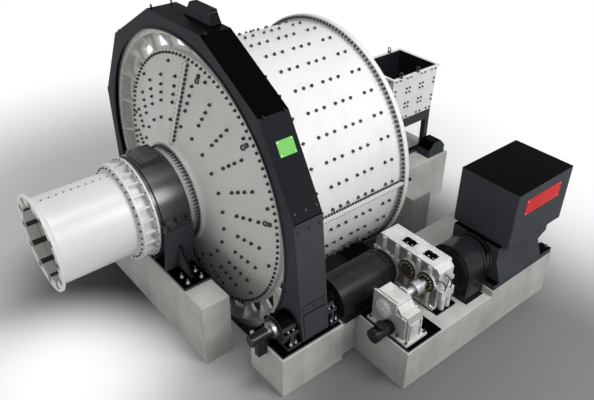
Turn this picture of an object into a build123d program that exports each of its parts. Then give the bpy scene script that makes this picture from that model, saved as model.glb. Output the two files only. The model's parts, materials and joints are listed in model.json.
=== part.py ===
import os
from math import acos, cos, pi, radians, sin, sqrt, tan

from build123d import *

os.makedirs("parts", exist_ok=True)

# Millimetres. +Y runs along the mill from the discharge mouth to the feed end,
# +X points to the drive side, and Z = 0 is the pit floor under the ring gear.
# The origin is on the floor, under the mill axis, at the middle of the discharge pier.

# Running gaps and seats
fit_gap = 0.3            # journals in their bearings
swing_gap = 20.0         # turning rings beside fixed faces

# Mill axis and drum
axis_z = 3600.0
shell_r = 2798.0
shell_wall = 90.0
shell_len = 3473.0
shell_flange_h = 132.0
shell_flange_t = 50.0
split_bar_t = 45.0
split_bar_h = 95.0
head_depth = 600.0
head_wall = 140.0
head_flange_t = 60.0
head_rib_h = 55.0
head_rib_sink = 30.0
head_rim_w = 117.0

# Trunnions and their bearings
journal_r = 960.0
trunnion_wall = 200.0
trunnion_flange_h = 162.0
trunnion_flange_t = 100.0
bearing_wall = 125.0
bearing_w = 720.0
bearing_shift = 40.0
bearing_foot_x = 1760.0
bearing_foot_y = 310.0
bearing_foot_t = 60.0
bearing_seat = 8.0
bearing_gap = 185.0
seal_ring_w = 70.0
seal_ring_step = 48.0
cap_flange_x = 1250.0
cap_flange_t = 60.0
cap_flange_lap = 85.0
cap_hatch_x = 330.0
cap_hatch_h = 45.0
cap_hatch_end = 110.0
pedestal_x = 1050.0
pedestal_web = 60.0
pedestal_rib_t = 60.0
pedestal_bays = 4
pedestal_edge = 90.0
gusset_out = 520.0
gusset_h = 640.0

# Discharge spout
spout_step = 66.0
spout_wall = 74.0
spout_len = 1666.0
spout_mouth_h = 120.0
spout_mouth_t = 40.0
spout_flare = 120.0
spout_ring_t = 40.0
spout_hub_len = 350.0
spout_ring_front_h = 161.0
spout_ring_back_h = 191.0
spout_ribs = 24
spout_rib_t = 30.0

# Ring gear and pinion
module = 30.0
pinion_teeth = 22
pressure_angle = radians(20)
tooth_backlash = 1.6
addendum = 0.95
dedendum = 1.25
gear_forward = 200.0
gear_face = 450.0
gear_rim_t = 120.0
gear_bore_sides = 96
gear_web_h = 362.5
gear_web_t = 60.0
gear_gussets = 24
gear_gusset_t = 40.0
gear_window_inner = 70.0
gear_window_outer = 82.5
gear_window_deg = 8.0
pinion_drop = 1371.0
pinion_overhang = 10.0
pinion_shaft_r = 140.0
pinion_collar_r = 172.0
pinion_collar_len = 80.0
pinion_spindle_r = 55.0
pinion_pocket_gap = 45.0
hub_r = 275.0
hub_len = 620.0
hub_ring_h = 30.0
hub_ring_w = 90.0

# Gear guard: a twelve-sided case that stands over the gear
guard_gap = 183.5
guard_lip = 85.5
guard_side_gap = 110.0
guard_t = 12.0
guard_seal_w = 48.0
guard_seal_t = 22.0
guard_foot_reach = 418.0
guard_leg_w = 562.0
joint_flange_h = 40.0
joint_flange_t = 16.0
hatch_mid_x = 190.0
hatch_base_x, hatch_top_x = 490.0, 340.0
hatch_h = 243.0
hatch_base_w, hatch_top_w = 245.0, 145.0
hatch_rib_t = 34.0
hatch_rib_h = 14.0
hatch_bays = 3

# Piers
pier_margin_x = 648.0
pier_margin_y = 13.0
pier_edge = 14.0
pinion_height = 329.0
pinion_pier_in, pinion_pier_out = 512.5, 548.5
pinion_pier_front = 224.0
pinion_pier_back = 41.0
pinion_pier_neck = 85.0
neck_len = 414.0
drive_pier_out = 750.0
drive_pier_back = 22.0
motor_step_h = 160.0
chute_pier_side = 503.0
chute_pier_back = 272.0

# Pinion bearings and covers
sole_t = 40.0
sole_margin = 45.0
block_foot_x = 430.0
block_foot_t = 70.0
block_r = 270.0
block_ear_x = 345.0
block_ear_t = 45.0
block_seal_r = 215.0
block_seal_t = 30.0
block_rib_t = 40.0
block_gap = 45.0
front_block_w = 330.0
rear_block_w = 220.0
end_cover_r = 125.0
end_cover_wall = 12.0
end_cover_len = 575.0
end_cover_gap = 190.0
end_cover_foot = 130.0
end_cover_foot_len = 265.0
end_cover_apron = 140.0
panel_t = 20.0
panel_margin = 60.0
panel_z0, panel_h = 60.0, 560.0
band_gap, band_h, band_t = 70.0, 130.0, 14.0
tunnel_x = 480.0
tunnel_drop = 49.0
tunnel_wall = 12.0
tunnel_front = 80.0
tunnel_back = 170.0
cover_foot_w = 70.0
cover_band_w, cover_band_t = 60.0, 14.0

# Gearbox
gear_centres = 1157.4
drive_rise = 331.0
input_shaft_r = 90.0
box_in, box_out = 342.5, 260.0
box_behind = 1235.0
box_w = 580.0
box_cap_h = 440.0
box_plate_t = 40.0
box_plate_out = 144.0
box_rib_out = 70.0
box_rib_w = 150.0
box_rib_tip = 70.0
box_ribs = (280.0, 640.0, 980.0, 1240.0, 1540.0)
box_flange_t = 42.0
box_foot_t = 65.0
box_lid_t = 36.0
box_lid_edge = 34.0
box_slope_x, box_slope_z = 150.0, 210.0
box_nose = 130.0
output_boss_r = 400.0
shaft_boss_r = 225.0
mid_shaft_x = 648.0
shaft_seat = 120.0
oil_w, oil_t = 380.0, 110.0
oil_z0, oil_z1 = 290.0, 500.0
oil_can_r = 62.0
oil_can_step = 170.0

# Inching unit
inching_plate_in, inching_plate_out = 607.0, 723.0
inching_plate_front, inching_plate_len = 38.0, 957.0
inching_in, inching_out = 380.0, 580.0
inching_front, inching_len = 87.0, 470.0
inching_cap_h = 170.0
inching_step_x, inching_step_h = 230.0, 200.0
inching_foot_t, inching_foot_w = 52.0, 60.0
inching_rim_t, inching_rim_w = 40.0, 34.0
inching_slope = 120.0
inching_joint_x, inching_joint_t, inching_joint_w = 110.0, 44.0, 26.0
inching_end_r, inching_end_t = 120.0, 24.0
inching_rib_t, inching_rib_out = 30.0, 36.0
inching_lid_t, inching_lid_edge = 22.0, 40.0
inching_cover_r, inching_cover_t = 205.0, 26.0
inching_boss_r = 185.0
inching_motor_x, inching_motor_rise = 120.0, 210.0
inching_motor_r = 140.0
inching_motor_len = 480.0
inching_motor_cowl = 110.0
inching_motor_cowl_r = 152.0
inching_motor_flange_r, inching_motor_flange_t = 160.0, 36.0
inching_box_x, inching_box_len, inching_box_h = 90.0, 170.0, 80.0
shaft_hub_r = 160.0
shaft_hub_front, shaft_hub_len = 200.0, 200.0

# Motor and its coupling guard
hood_x = 500.0
hood_wall = 12.0
hood_front = 150.0
hood_len = 570.0
hood_panel_t = 16.0
hood_panel_margin = 70.0
hood_panel_z0, hood_panel_h = 90.0, 480.0
motor_step_gap = 40.0
motor_base_x = 750.0
motor_base_front, motor_base_back = 26.0, 79.0
motor_base_t = 130.0
motor_rail_w = 270.0
motor_x = 590.0
motor_front = 180.0
motor_len = 1480.0
motor_tail = 300.0
motor_tail_z = 390.0
motor_tail_rise = 84.0
motor_foot_z, motor_flare_z = 28.0, 450.0
motor_bell_r = 490.0
motor_bell_t = 100.0
motor_bell_ring, motor_bell_ring_t = 40.0, 46.0
motor_top = 450.0
motor_hood_x = 715.0
motor_hood_back = 114.0
motor_hood_len = 1874.0
motor_hood_h = 1308.0
motor_hood_edge = 18.0

# Feed hopper, its frame and the feed spout
hopper_gap = 184.0
hopper_x = 677.0
hopper_len = 1636.0
hopper_drop = 97.0
hopper_h = 1259.0
hopper_wall = 30.0
hopper_taper = 40.0
hopper_rim_w, hopper_rim_t = 45.0, 36.0
frame_h = 1223.0
frame_beam_h = 274.0
frame_bar = 140.0
frame_sill_h = 100.0
boot_gap = 117.0
boot_len = 893.0
boot_depth = 483.0
boot_wall = 20.0
feed_spout_r = 220.0
feed_spout_rise = 250.0
feed_spout_in = 383.0
winch_side, winch_w = 23.0, 420.0
winch_over, winch_len = 443.0, 620.0
winch_h = 420.0
winch_shoulder = 0.55
winch_top = 0.28

# Derived places
trunnion_bore_r = journal_r - trunnion_wall
trunnion_flange_r = journal_r + trunnion_flange_h
bearing_r = journal_r + bearing_wall
bearing_y0 = bearing_shift - bearing_w / 2
bearing_y1 = bearing_y0 + bearing_w
shell_y0 = bearing_y1 + bearing_gap + trunnion_flange_t + head_depth
shell_y1 = shell_y0 + shell_len
shell_flange_r = shell_r + shell_flange_h
mill_mid_y = (shell_y0 + shell_y1) / 2
head_y0 = shell_y0 - head_depth
trunnion_y0 = bearing_y0 - swing_gap
feed_end_y = 2 * mill_mid_y - trunnion_y0
pier_top = axis_z - bearing_r - bearing_foot_t - bearing_seat
pier_x = bearing_foot_x + pier_margin_x
pier_y = bearing_foot_y + pier_margin_y

spout_r = journal_r - spout_step
spout_hub_y0 = trunnion_y0 - spout_hub_len
spout_y0 = spout_hub_y0 - spout_len

gear_teeth = round(2 * (shell_flange_r + gear_web_h + gear_rim_t + dedendum * module) / module)
gear_pitch_r = module * gear_teeth / 2
gear_root_r = gear_pitch_r - dedendum * module
gear_tip_r = gear_pitch_r + addendum * module
gear_bore_r = gear_root_r - gear_rim_t
gear_face_y0 = shell_y0 - gear_forward
gear_face_y1 = gear_face_y0 + gear_face
pinion_pitch_r = module * pinion_teeth / 2
pinion_root_r = pinion_pitch_r - dedendum * module
pinion_tip_r = pinion_pitch_r + addendum * module
centre_distance = gear_pitch_r + pinion_pitch_r
pinion_z = axis_z - pinion_drop
pinion_x = sqrt(centre_distance**2 - pinion_drop**2)
pinion_y0 = gear_face_y0 - pinion_overhang
pinion_y1 = gear_face_y1 + pinion_overhang

guard_apothem = gear_tip_r + guard_gap
guard_bore_r = gear_tip_r - guard_lip
guard_y0 = gear_face_y0 - guard_side_gap
guard_y1 = gear_face_y1 + guard_side_gap
guard_foot_x = pinion_x + guard_foot_reach
guard_leg_x = guard_apothem - guard_leg_w

drive_pier_top = pinion_z - pinion_height
sole_top = drive_pier_top + sole_t
box_plate_top = drive_pier_top + box_plate_t
front_block_y1 = guard_y0 - block_gap
front_block_y0 = front_block_y1 - front_block_w
rear_block_y0 = guard_y1 + block_gap
rear_block_y1 = rear_block_y0 + rear_block_w
end_cover_y0 = front_block_y0 - end_cover_len
end_cover_y1 = front_block_y0 - end_cover_gap
pinion_pier_x0 = pinion_x - pinion_pier_in
pinion_pier_x1 = pinion_x + pinion_pier_out
pinion_pier_y0 = front_block_y0 - pinion_pier_front
pinion_pier_y1 = rear_block_y1 + pinion_pier_back
drive_pier_y0 = pinion_pier_y1 + neck_len

drive_x = pinion_x + gear_centres
drive_z = pinion_z + drive_rise
drive_pier_x1 = drive_x + drive_pier_out
box_x0, box_x1 = pinion_x - box_in, drive_x + box_out
box_y0 = drive_pier_y0 + box_behind
box_y1 = box_y0 + box_w
box_top = drive_z + box_cap_h
tunnel_y0, tunnel_y1 = rear_block_y1 + tunnel_front, box_y0 - tunnel_back
hub_y0 = (tunnel_y0 + tunnel_y1 - hub_len) / 2
inching_x0, inching_x1 = drive_x - inching_in, drive_x + inching_out
inching_plate_y0 = drive_pier_y0 + inching_plate_front
inching_y0 = inching_plate_y0 + inching_front
inching_y1 = inching_y0 + inching_len
inching_top = drive_z + inching_cap_h
hood_y0 = box_y1 + hood_front
hood_y1 = hood_y0 + hood_len
motor_step_y = hood_y1 + motor_step_gap
motor_floor = drive_pier_top + motor_step_h
motor_sole = motor_floor + motor_base_t
motor_y0 = motor_step_y + motor_front
motor_hood_y0 = motor_y0 + motor_hood_back
motor_hood_y1 = motor_hood_y0 + motor_hood_len
motor_hood_z0 = drive_z + motor_top
drive_pier_y1 = motor_hood_y1 + drive_pier_back

hopper_y0 = feed_end_y + hopper_gap
hopper_y1 = hopper_y0 + hopper_len
hopper_z0 = axis_z - hopper_drop
hopper_z1 = hopper_z0 + hopper_h
boot_x = hopper_x - hopper_taper - frame_bar - boot_gap
boot_y0 = hopper_y0 + hopper_taper
boot_y1 = boot_y0 + boot_len
boot_z0 = hopper_z0 - boot_depth
feed_spout_z = boot_z0 + feed_spout_rise
chute_pier_top = hopper_z0 - frame_h
chute_pier_x = hopper_x + chute_pier_side
chute_pier_y0 = 2 * mill_mid_y + pier_y
chute_pier_y1 = hopper_y1 + chute_pier_back


def block(x0, x1, y0, y1, z0, z1):
    return Pos((x0 + x1) / 2, (y0 + y1) / 2, (z0 + z1) / 2) * Box(x1 - x0, y1 - y0, z1 - z0)


def turned(points, x=0.0, z=axis_z, arc=360.0):
    """A profile of (radius, y) points turned about a shaft that lies along Y."""
    profile = make_face(Polyline(*points, close=True))
    return Pos(x, 0, z) * revolve(profile, Axis.Y, arc)


def tube(r_out, r_in, y0, y1, x=0.0, z=axis_z):
    return turned([(r_in, y0), (r_out, y0), (r_out, y1), (r_in, y1)], x, z)


def rod(r, y0, y1, x=0.0, z=axis_z):
    return turned([(0, y0), (r, y0), (r, y1), (0, y1)], x, z)


def upright(face, y0, y1):
    """A flat outline in X and Z, with a thickness from y0 to y1."""
    return Pos(0, y1, 0) * Rot(90, 0, 0) * extrude(face, y1 - y0)


def sideways(points, x0, x1):
    """A flat outline of (y, z) points, with a thickness from x0 to x1."""
    return Pos(x0, 0, 0) * extrude(Plane.YZ * outline(points), x1 - x0)


def raised(face, z0, z1):
    """A plan outline, drawn up from z0 to z1."""
    return Pos(0, 0, z0) * extrude(face, z1 - z0)


def outline(points):
    return make_face(Polyline(*points, close=True))


def oblong(x0, x1, y0, y1):
    return Pos((x0 + x1) / 2, (y0 + y1) / 2) * Rectangle(x1 - x0, y1 - y0)


def disc(r, x=0.0, z=axis_z):
    return Pos(x, z) * Circle(r)


def polar(r, degrees, x=0.0, z=axis_z):
    return (x + r * cos(radians(degrees)), z + r * sin(radians(degrees)))


def mirrored(shape):
    """The same piece at the feed end."""
    return mirror(shape, Plane((0, mill_mid_y, 0), z_dir=(0, 1, 0)))


def other_side(shape, x=0.0):
    return mirror(shape, Plane((x, 0, 0), z_dir=(1, 0, 0)))


# Gear teeth


def involute(angle):
    return tan(angle) - angle


def tooth_half_angle(r, pitch_r):
    """Half the angle of a tooth at radius r, for an involute flank thinned for backlash."""
    base_r = pitch_r * cos(pressure_angle)
    half_pitch = (pi * module / 2 - tooth_backlash / 2) / (2 * pitch_r)
    return half_pitch + involute(pressure_angle) - involute(acos(min(1.0, base_r / max(r, base_r))))


def toothed_face(pitch_r, teeth, flank_radii, first_tooth, x, z):
    """An outline of straight chords: each tooth climbs one flank and comes down the other."""
    points = []
    for tooth in range(teeth):
        middle = first_tooth + 2 * pi * tooth / teeth
        rise = [(r, middle - tooth_half_angle(r, pitch_r)) for r in flank_radii]
        fall = [(r, middle + tooth_half_angle(r, pitch_r)) for r in reversed(flank_radii)]
        points += [(x + r * cos(a), z + r * sin(a)) for r, a in rise + fall]
    return outline(points)


def many_sided(r, sides):
    return outline([polar(r, 360 * (side + 0.5) / sides) for side in range(sides)])


# The line of centres runs from the mill axis down to the pinion. A pinion tooth lies on it
# and enters a space of the ring gear.
centre_angle = -acos(pinion_x / centre_distance)
gear_radii = [gear_root_r, gear_tip_r]
pinion_radii = [
    pinion_root_r,
    pinion_pitch_r * cos(pressure_angle),
    pinion_pitch_r,
    (pinion_pitch_r + pinion_tip_r) / 2,
    pinion_tip_r,
]


def ring_gear_rim():
    first = centre_angle + pi / gear_teeth
    face = toothed_face(gear_pitch_r, gear_teeth, gear_radii, first, 0, axis_z)
    return upright(face - many_sided(gear_bore_r, gear_bore_sides), gear_face_y0, gear_face_y1)


def ring_gear_web():
    """A windowed disc behind the shell's end flange, with gussets that widen towards the rim."""
    web_y0 = shell_y0 + shell_flange_t
    web_y1 = web_y0 + gear_web_t
    face = many_sided(gear_bore_r, gear_bore_sides) - disc(shell_r)
    pitch = 360 / gear_gussets
    window_r0 = shell_flange_r + gear_window_inner
    window_r1 = gear_bore_r - gear_window_outer
    for window in range(gear_gussets):
        low = (window + 0.5) * pitch - gear_window_deg / 2
        high = low + gear_window_deg
        face -= outline([polar(window_r0, low), polar(window_r1, low),
                         polar(window_r1, high), polar(window_r0, high)])
    web = upright(face, web_y0, web_y1)
    inner = shell_flange_r + swing_gap
    outer = gear_bore_r * cos(pi / gear_bore_sides) - 2 * fit_gap
    fin = outline([(inner, web_y0 - swing_gap), (outer, gear_face_y0 + swing_gap),
                   (outer, gear_face_y1 - swing_gap), (inner, web_y1 + swing_gap)])
    fin = Pos(0, 0, -gear_gusset_t / 2) * extrude(fin, gear_gusset_t)
    for count in range(gear_gussets):
        web += Pos(0, 0, axis_z) * Rot(0, -count * pitch, 0) * fin
    return web


def pinion():
    first = centre_angle + pi
    face = toothed_face(pinion_pitch_r, pinion_teeth, pinion_radii, first, pinion_x, pinion_z)
    return upright(face, pinion_y0, pinion_y1)


# Drum


def half_shell():
    """The upper half of the shell, with end flanges and the bars of its lengthwise joint."""
    inner = shell_r - shell_wall
    profile = [
        (inner, shell_y0),
        (shell_flange_r, shell_y0),
        (shell_flange_r, shell_y0 + shell_flange_t),
        (shell_r, shell_y0 + shell_flange_t),
        (shell_r, shell_y1 - shell_flange_t),
        (shell_flange_r, shell_y1 - shell_flange_t),
        (shell_flange_r, shell_y1),
        (inner, shell_y1),
    ]
    half = turned(profile, arc=-180)
    bar_y0 = shell_y0 + shell_flange_t + gear_web_t
    bar = block(shell_r - shell_wall / 2, shell_r + split_bar_h, bar_y0, shell_y1 - shell_flange_t,
                axis_z, axis_z + split_bar_t)
    return half + bar + other_side(bar)


def lower(shape):
    """The upper half turned half a turn about the mill axis."""
    return Pos(0, 0, axis_z) * Rot(0, 180, 0) * Pos(0, 0, -axis_z) * shape


def head_half():
    """The drive-side half of a conical end, with its rim flange and the bar of its joint."""
    rim_y = shell_y0 - head_flange_t
    cone_r = shell_flange_r - head_rim_w
    profile = [
        (trunnion_bore_r, head_y0),
        (trunnion_flange_r, head_y0),
        (cone_r, rim_y),
        (shell_flange_r, rim_y),
        (shell_flange_r, shell_y0),
        (shell_r - shell_wall, shell_y0),
        (trunnion_bore_r, head_y0 + head_wall),
    ]
    half = Pos(0, 0, axis_z) * Rot(0, 90, 0) * Pos(0, 0, -axis_z) * turned(profile, arc=-180)
    slope = (rim_y - head_y0) / (cone_r - trunnion_flange_r)
    bar_r0 = trunnion_flange_r + head_rib_h
    bar_y0 = head_y0 + slope * head_rib_h
    bar = sideways([
        (bar_y0 - head_rib_h, axis_z + bar_r0),
        (rim_y - head_rib_h, axis_z + cone_r),
        (rim_y + head_rib_sink, axis_z + cone_r),
        (bar_y0 + head_rib_sink, axis_z + bar_r0),
    ], 0, split_bar_t)
    return half + bar + mirror(bar, Plane((0, 0, axis_z), z_dir=(0, 0, 1)))


def trunnion():
    return turned([
        (trunnion_bore_r, trunnion_y0),
        (journal_r, trunnion_y0),
        (journal_r, head_y0 - trunnion_flange_t),
        (trunnion_flange_r, head_y0 - trunnion_flange_t),
        (trunnion_flange_r, head_y0),
        (trunnion_bore_r, head_y0),
    ])


def spout_hub():
    """Two flanges on a short sleeve, with ribs between them."""
    inner = spout_r - spout_wall
    front_r, back_r = spout_r + spout_ring_front_h, spout_r + spout_ring_back_h
    back_y0 = trunnion_y0 - spout_ring_t
    front_y1 = spout_hub_y0 + spout_ring_t
    hub = turned([
        (inner, spout_hub_y0),
        (front_r, spout_hub_y0),
        (front_r, front_y1),
        (spout_r, front_y1),
        (spout_r, back_y0),
        (back_r, back_y0),
        (back_r, trunnion_y0),
        (inner, trunnion_y0),
    ])
    rib = block(spout_r - spout_wall / 2, front_r - spout_rib_t, front_y1, back_y0,
                -spout_rib_t / 2, spout_rib_t / 2)
    for count in range(spout_ribs):
        hub += Pos(0, 0, axis_z) * Rot(0, 360 * count / spout_ribs, 0) * rib
    return hub


def discharge_spout():
    inner = spout_r - spout_wall
    mouth_r = spout_r + spout_mouth_h
    return turned([
        (inner, spout_y0),
        (mouth_r, spout_y0),
        (mouth_r, spout_y0 + spout_mouth_t),
        (spout_r, spout_y0 + spout_flare),
        (spout_r, spout_hub_y0),
        (inner, spout_hub_y0),
    ])


# Main bearings


def bearing_ring():
    """The housing's round wall, stepped down at both ends for the seal rings."""
    step_r = bearing_r - seal_ring_step
    bore_r = journal_r + fit_gap
    return turned([
        (bore_r, bearing_y0),
        (step_r, bearing_y0),
        (step_r, bearing_y0 + seal_ring_w),
        (bearing_r, bearing_y0 + seal_ring_w),
        (bearing_r, bearing_y1 - seal_ring_w),
        (step_r, bearing_y1 - seal_ring_w),
        (step_r, bearing_y1),
        (bore_r, bearing_y1),
    ])


def bearing_base():
    """The lower half of a trunnion bearing: cradle, ribbed pedestal, gussets and foot plate."""
    foot_top = pier_top + bearing_foot_t
    ledge_z = axis_z - cap_flange_t
    bore = disc(journal_r + fit_gap)
    body = outline([
        (-pedestal_x, foot_top),
        (pedestal_x, foot_top),
        (cap_flange_x, ledge_z),
        (cap_flange_x, axis_z),
        (-cap_flange_x, axis_z),
        (-cap_flange_x, ledge_z),
    ]) - bore
    base = bearing_ring() & block(-bearing_r, bearing_r, bearing_y0, bearing_y1, axis_z - bearing_r, axis_z)
    base += upright(body, -bearing_foot_y, bearing_foot_y)
    panel = outline([
        (-pedestal_x + pedestal_edge, foot_top),
        (pedestal_x - pedestal_edge, foot_top),
        (cap_flange_x - pedestal_edge, ledge_z),
        (-cap_flange_x + pedestal_edge, ledge_z),
    ]) - disc(bearing_r)
    bay = 2 * pedestal_x / pedestal_bays
    for rib in range(1, pedestal_bays):
        middle = rib * bay - pedestal_x
        panel -= oblong(middle - pedestal_rib_t / 2, middle + pedestal_rib_t / 2, foot_top, axis_z)
    base -= upright(panel, -bearing_foot_y, -pedestal_web)
    base -= upright(panel, pedestal_web, bearing_foot_y)
    base += block(-bearing_foot_x, bearing_foot_x, -bearing_foot_y, bearing_foot_y, pier_top, foot_top)
    rise = gusset_h * (cap_flange_x - pedestal_x) / (ledge_z - foot_top)
    gusset = upright(outline([
        (pedestal_x - pedestal_edge, foot_top),
        (pedestal_x + gusset_out, foot_top),
        (pedestal_x + rise, foot_top + gusset_h),
        (pedestal_x - pedestal_edge + rise, foot_top + gusset_h),
    ]), -pedestal_rib_t / 2, pedestal_rib_t / 2)
    return base + gusset + other_side(gusset)


def bearing_cap():
    """The upper half of the housing, with the ledges that bolt to the base and a hatch on top."""
    crown = axis_z + bearing_r + cap_hatch_h
    cap = bearing_ring()
    ledge = block(bearing_r - cap_flange_lap, cap_flange_x, -bearing_foot_y, bearing_foot_y,
                  axis_z, axis_z + cap_flange_t)
    cap += ledge
    cap += other_side(ledge)
    hatch_y0, hatch_y1 = bearing_y0 + cap_hatch_end, bearing_y1 - cap_hatch_end
    cap += block(-cap_hatch_x, cap_hatch_x, hatch_y0, hatch_y1, axis_z, crown)
    cap -= rod(journal_r + fit_gap, bearing_y0, bearing_y1)
    return cap & block(-cap_flange_x, cap_flange_x, bearing_y0, bearing_y1, axis_z, crown)


# Gear guard: the arch of five facets stands on two straight legs

joint_angle = 15
arch_angles = [joint_angle + 30 * facet for facet in range(6)]
corner_r = guard_apothem / cos(radians(15))
inner_corner_r = (guard_apothem - guard_t) / cos(radians(15))
leg_top = polar(corner_r, joint_angle)


def leg_x(z):
    """The outer face of the drive-side leg, which leans out towards the pinion's foot."""
    share = (leg_top[1] - z) / (leg_top[1] - sole_top)
    return leg_top[0] + share * (guard_foot_x - leg_top[0])


def guard_faces():
    """The outlines of the guard's front and rear plates."""
    middle = (0.0, axis_z)
    left = [middle, polar(corner_r, 180 - joint_angle), (-guard_apothem, 0.0), (-guard_leg_x, 0.0),
            (-guard_leg_x, axis_z)]
    top = [middle] + [polar(corner_r, angle) for angle in arch_angles]
    right = [middle, leg_top, (guard_foot_x, sole_top), (pinion_pier_x0, sole_top)]
    shaft_hole = disc(pinion_shaft_r + swing_gap, pinion_x, pinion_z)
    return {
        "left": outline(left) - disc(guard_bore_r),
        "top": outline(top) - disc(guard_bore_r),
        "right": outline(right) - disc(guard_bore_r) - shaft_hole,
    }


def joint_flange(angle, side):
    """A bolting strip beside a joint: it stands on the rim's corner, on one side of the joint."""
    strip = oblong(corner_r - guard_t, corner_r + joint_flange_h, 0, side * joint_flange_t)
    return Pos(0, axis_z) * Rot(0, 0, angle) * strip


def guard_rims():
    """The bands that join the two plates, each with its bolting strips."""
    def strip(outer, inner):
        return outline(outer + inner[::-1])

    left_angle = 180 - joint_angle
    left = strip([polar(corner_r, left_angle), (-guard_apothem, 0.0)],
                 [polar(inner_corner_r, left_angle), (-guard_apothem + guard_t, 0.0)])
    top = strip([polar(corner_r, angle) for angle in arch_angles],
                [polar(inner_corner_r, angle) for angle in arch_angles])
    right = strip([leg_top, (guard_foot_x, sole_top)],
                  [polar(inner_corner_r, joint_angle), (guard_foot_x - guard_t, sole_top)])
    band_z0 = sole_top + panel_z0 + panel_h + band_gap
    band_z1 = band_z0 + band_h
    right += outline([(leg_x(band_z0) - guard_t, band_z0), (leg_x(band_z0) + band_t, band_z0),
                      (leg_x(band_z1) + band_t, band_z1), (leg_x(band_z1) - guard_t, band_z1)])
    return {
        "left": left + joint_flange(left_angle, 1),
        "top": top + joint_flange(left_angle, -1) + joint_flange(joint_angle, 1),
        "right": right + joint_flange(joint_angle, -1),
    }


def guard_hatch():
    """A hood with a leaning front and ends, ribbed into bays, at the back of the top facet."""
    base_z = axis_z + guard_apothem

    def hood(out):
        low = Plane((hatch_mid_x, guard_y1 - hatch_base_w / 2, base_z))
        high = Plane((hatch_mid_x, guard_y1 - hatch_top_w / 2, base_z + hatch_h))
        return loft([
            low * Rectangle(2 * (hatch_base_x + out), hatch_base_w + 2 * out),
            high * Rectangle(2 * (hatch_top_x + out), hatch_top_w + 2 * out),
        ])

    inner, outer = hood(0), hood(hatch_rib_h)
    span = 2 * hatch_top_x + hatch_rib_t
    hatch = inner
    for rib in range(hatch_bays + 1):
        middle = hatch_mid_x - span / 2 + rib * span / hatch_bays
        hatch += outer & block(middle - hatch_rib_t / 2, middle + hatch_rib_t / 2,
                               guard_y0, guard_y1, base_z, base_z + hatch_h)
    return hatch


def pinion_cover_panel():
    """The raised access plate on the outer face of the drive-side leg."""
    z0 = sole_top + panel_z0
    z1 = z0 + panel_h
    face = outline([(leg_x(z0), z0), (leg_x(z0) + panel_t, z0), (leg_x(z1) + panel_t, z1), (leg_x(z1), z1)])
    return upright(face, guard_y0 + panel_margin, guard_y1 - panel_margin)


# Pinion line and its covers


def pinion_pocket():
    """The room under the pinion, open towards the ring gear."""
    reach = pinion_tip_r + pinion_pocket_gap
    return block(pinion_pier_x0, pinion_x + reach, pinion_y0 - pinion_pocket_gap,
                 pinion_y1 + pinion_pocket_gap, pinion_z - reach, sole_top)


def pinion_block(y0, y1, seal_side):
    """A split pillow block: round head, cap ears, ribbed foot, and a seal ring on its outer side."""
    foot = block(pinion_x - block_foot_x, pinion_x + block_foot_x, y0, y1, sole_top, sole_top + block_foot_t)
    body = block(pinion_x - block_r, pinion_x + block_r, y0, y1, sole_top, pinion_z)
    ears = block(pinion_x - block_ear_x, pinion_x + block_ear_x, y0, y1,
                 pinion_z - block_ear_t, pinion_z + block_ear_t)
    shape = foot + body + ears + rod(block_r, y0, y1, pinion_x, pinion_z)
    middle = (y0 + y1) / 2
    rib = outline([
        (pinion_x + block_r, sole_top),
        (pinion_x + block_foot_x - block_rib_t, sole_top + block_foot_t),
        (pinion_x + block_ear_x, pinion_z),
        (pinion_x + block_r, pinion_z),
    ])
    rib = upright(rib, middle - block_rib_t / 2, middle + block_rib_t / 2)
    shape += rib
    shape += other_side(rib, pinion_x)
    seal_y0, seal_y1 = (y0 - block_seal_t, y0) if seal_side < 0 else (y1, y1 + block_seal_t)
    shape += rod(block_seal_r, seal_y0, seal_y1, pinion_x, pinion_z)
    return shape - rod(pinion_shaft_r + fit_gap, y0 - block_seal_t, y1 + block_seal_t, pinion_x, pinion_z)


def pinion_end_cover():
    """A long cap over the shaft's end, on a bracket that stands on the soleplate and down the pier."""
    cover = rod(end_cover_r, end_cover_y0, end_cover_y1, pinion_x, pinion_z)
    foot_x0, foot_x1 = pinion_x - end_cover_foot / 2, pinion_x + end_cover_foot / 2
    foot_y0 = pinion_pier_y0 + sole_margin + end_cover_wall - end_cover_foot_len
    cover += block(foot_x0, foot_x1, foot_y0, foot_y0 + end_cover_foot_len, sole_top, pinion_z)
    cover += block(foot_x0, foot_x1, foot_y0, pinion_pier_y0, drive_pier_top - end_cover_apron, sole_top)
    return cover - rod(end_cover_r - end_cover_wall, end_cover_y0 + end_cover_wall,
                       foot_y0 + end_cover_foot_len, pinion_x, pinion_z)


def pinion_shaft_front():
    """The outer journal: a polished collar before the bearing and a spindle that runs into the cap."""
    stub_y0 = end_cover_y1 - end_cover_foot_len
    collar_y1 = front_block_y0 - block_seal_t - fit_gap
    collar_y0 = collar_y1 - pinion_collar_len
    return turned([
        (0, stub_y0),
        (pinion_spindle_r, stub_y0),
        (pinion_spindle_r, collar_y0),
        (pinion_collar_r, collar_y0),
        (pinion_collar_r, collar_y1),
        (pinion_shaft_r, collar_y1),
        (pinion_shaft_r, pinion_y0),
        (0, pinion_y0),
    ], pinion_x, pinion_z)


def pinion_coupling():
    """A flexible coupling: two hubs, each with a raised flange where they meet."""
    middle = hub_y0 + hub_len / 2
    return turned([
        (0, hub_y0),
        (hub_r, hub_y0),
        (hub_r, middle - hub_ring_w),
        (hub_r + hub_ring_h, middle - hub_ring_w),
        (hub_r + hub_ring_h, middle + hub_ring_w),
        (hub_r, middle + hub_ring_w),
        (hub_r, hub_y0 + hub_len),
        (0, hub_y0 + hub_len),
    ], pinion_x, pinion_z)


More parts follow.
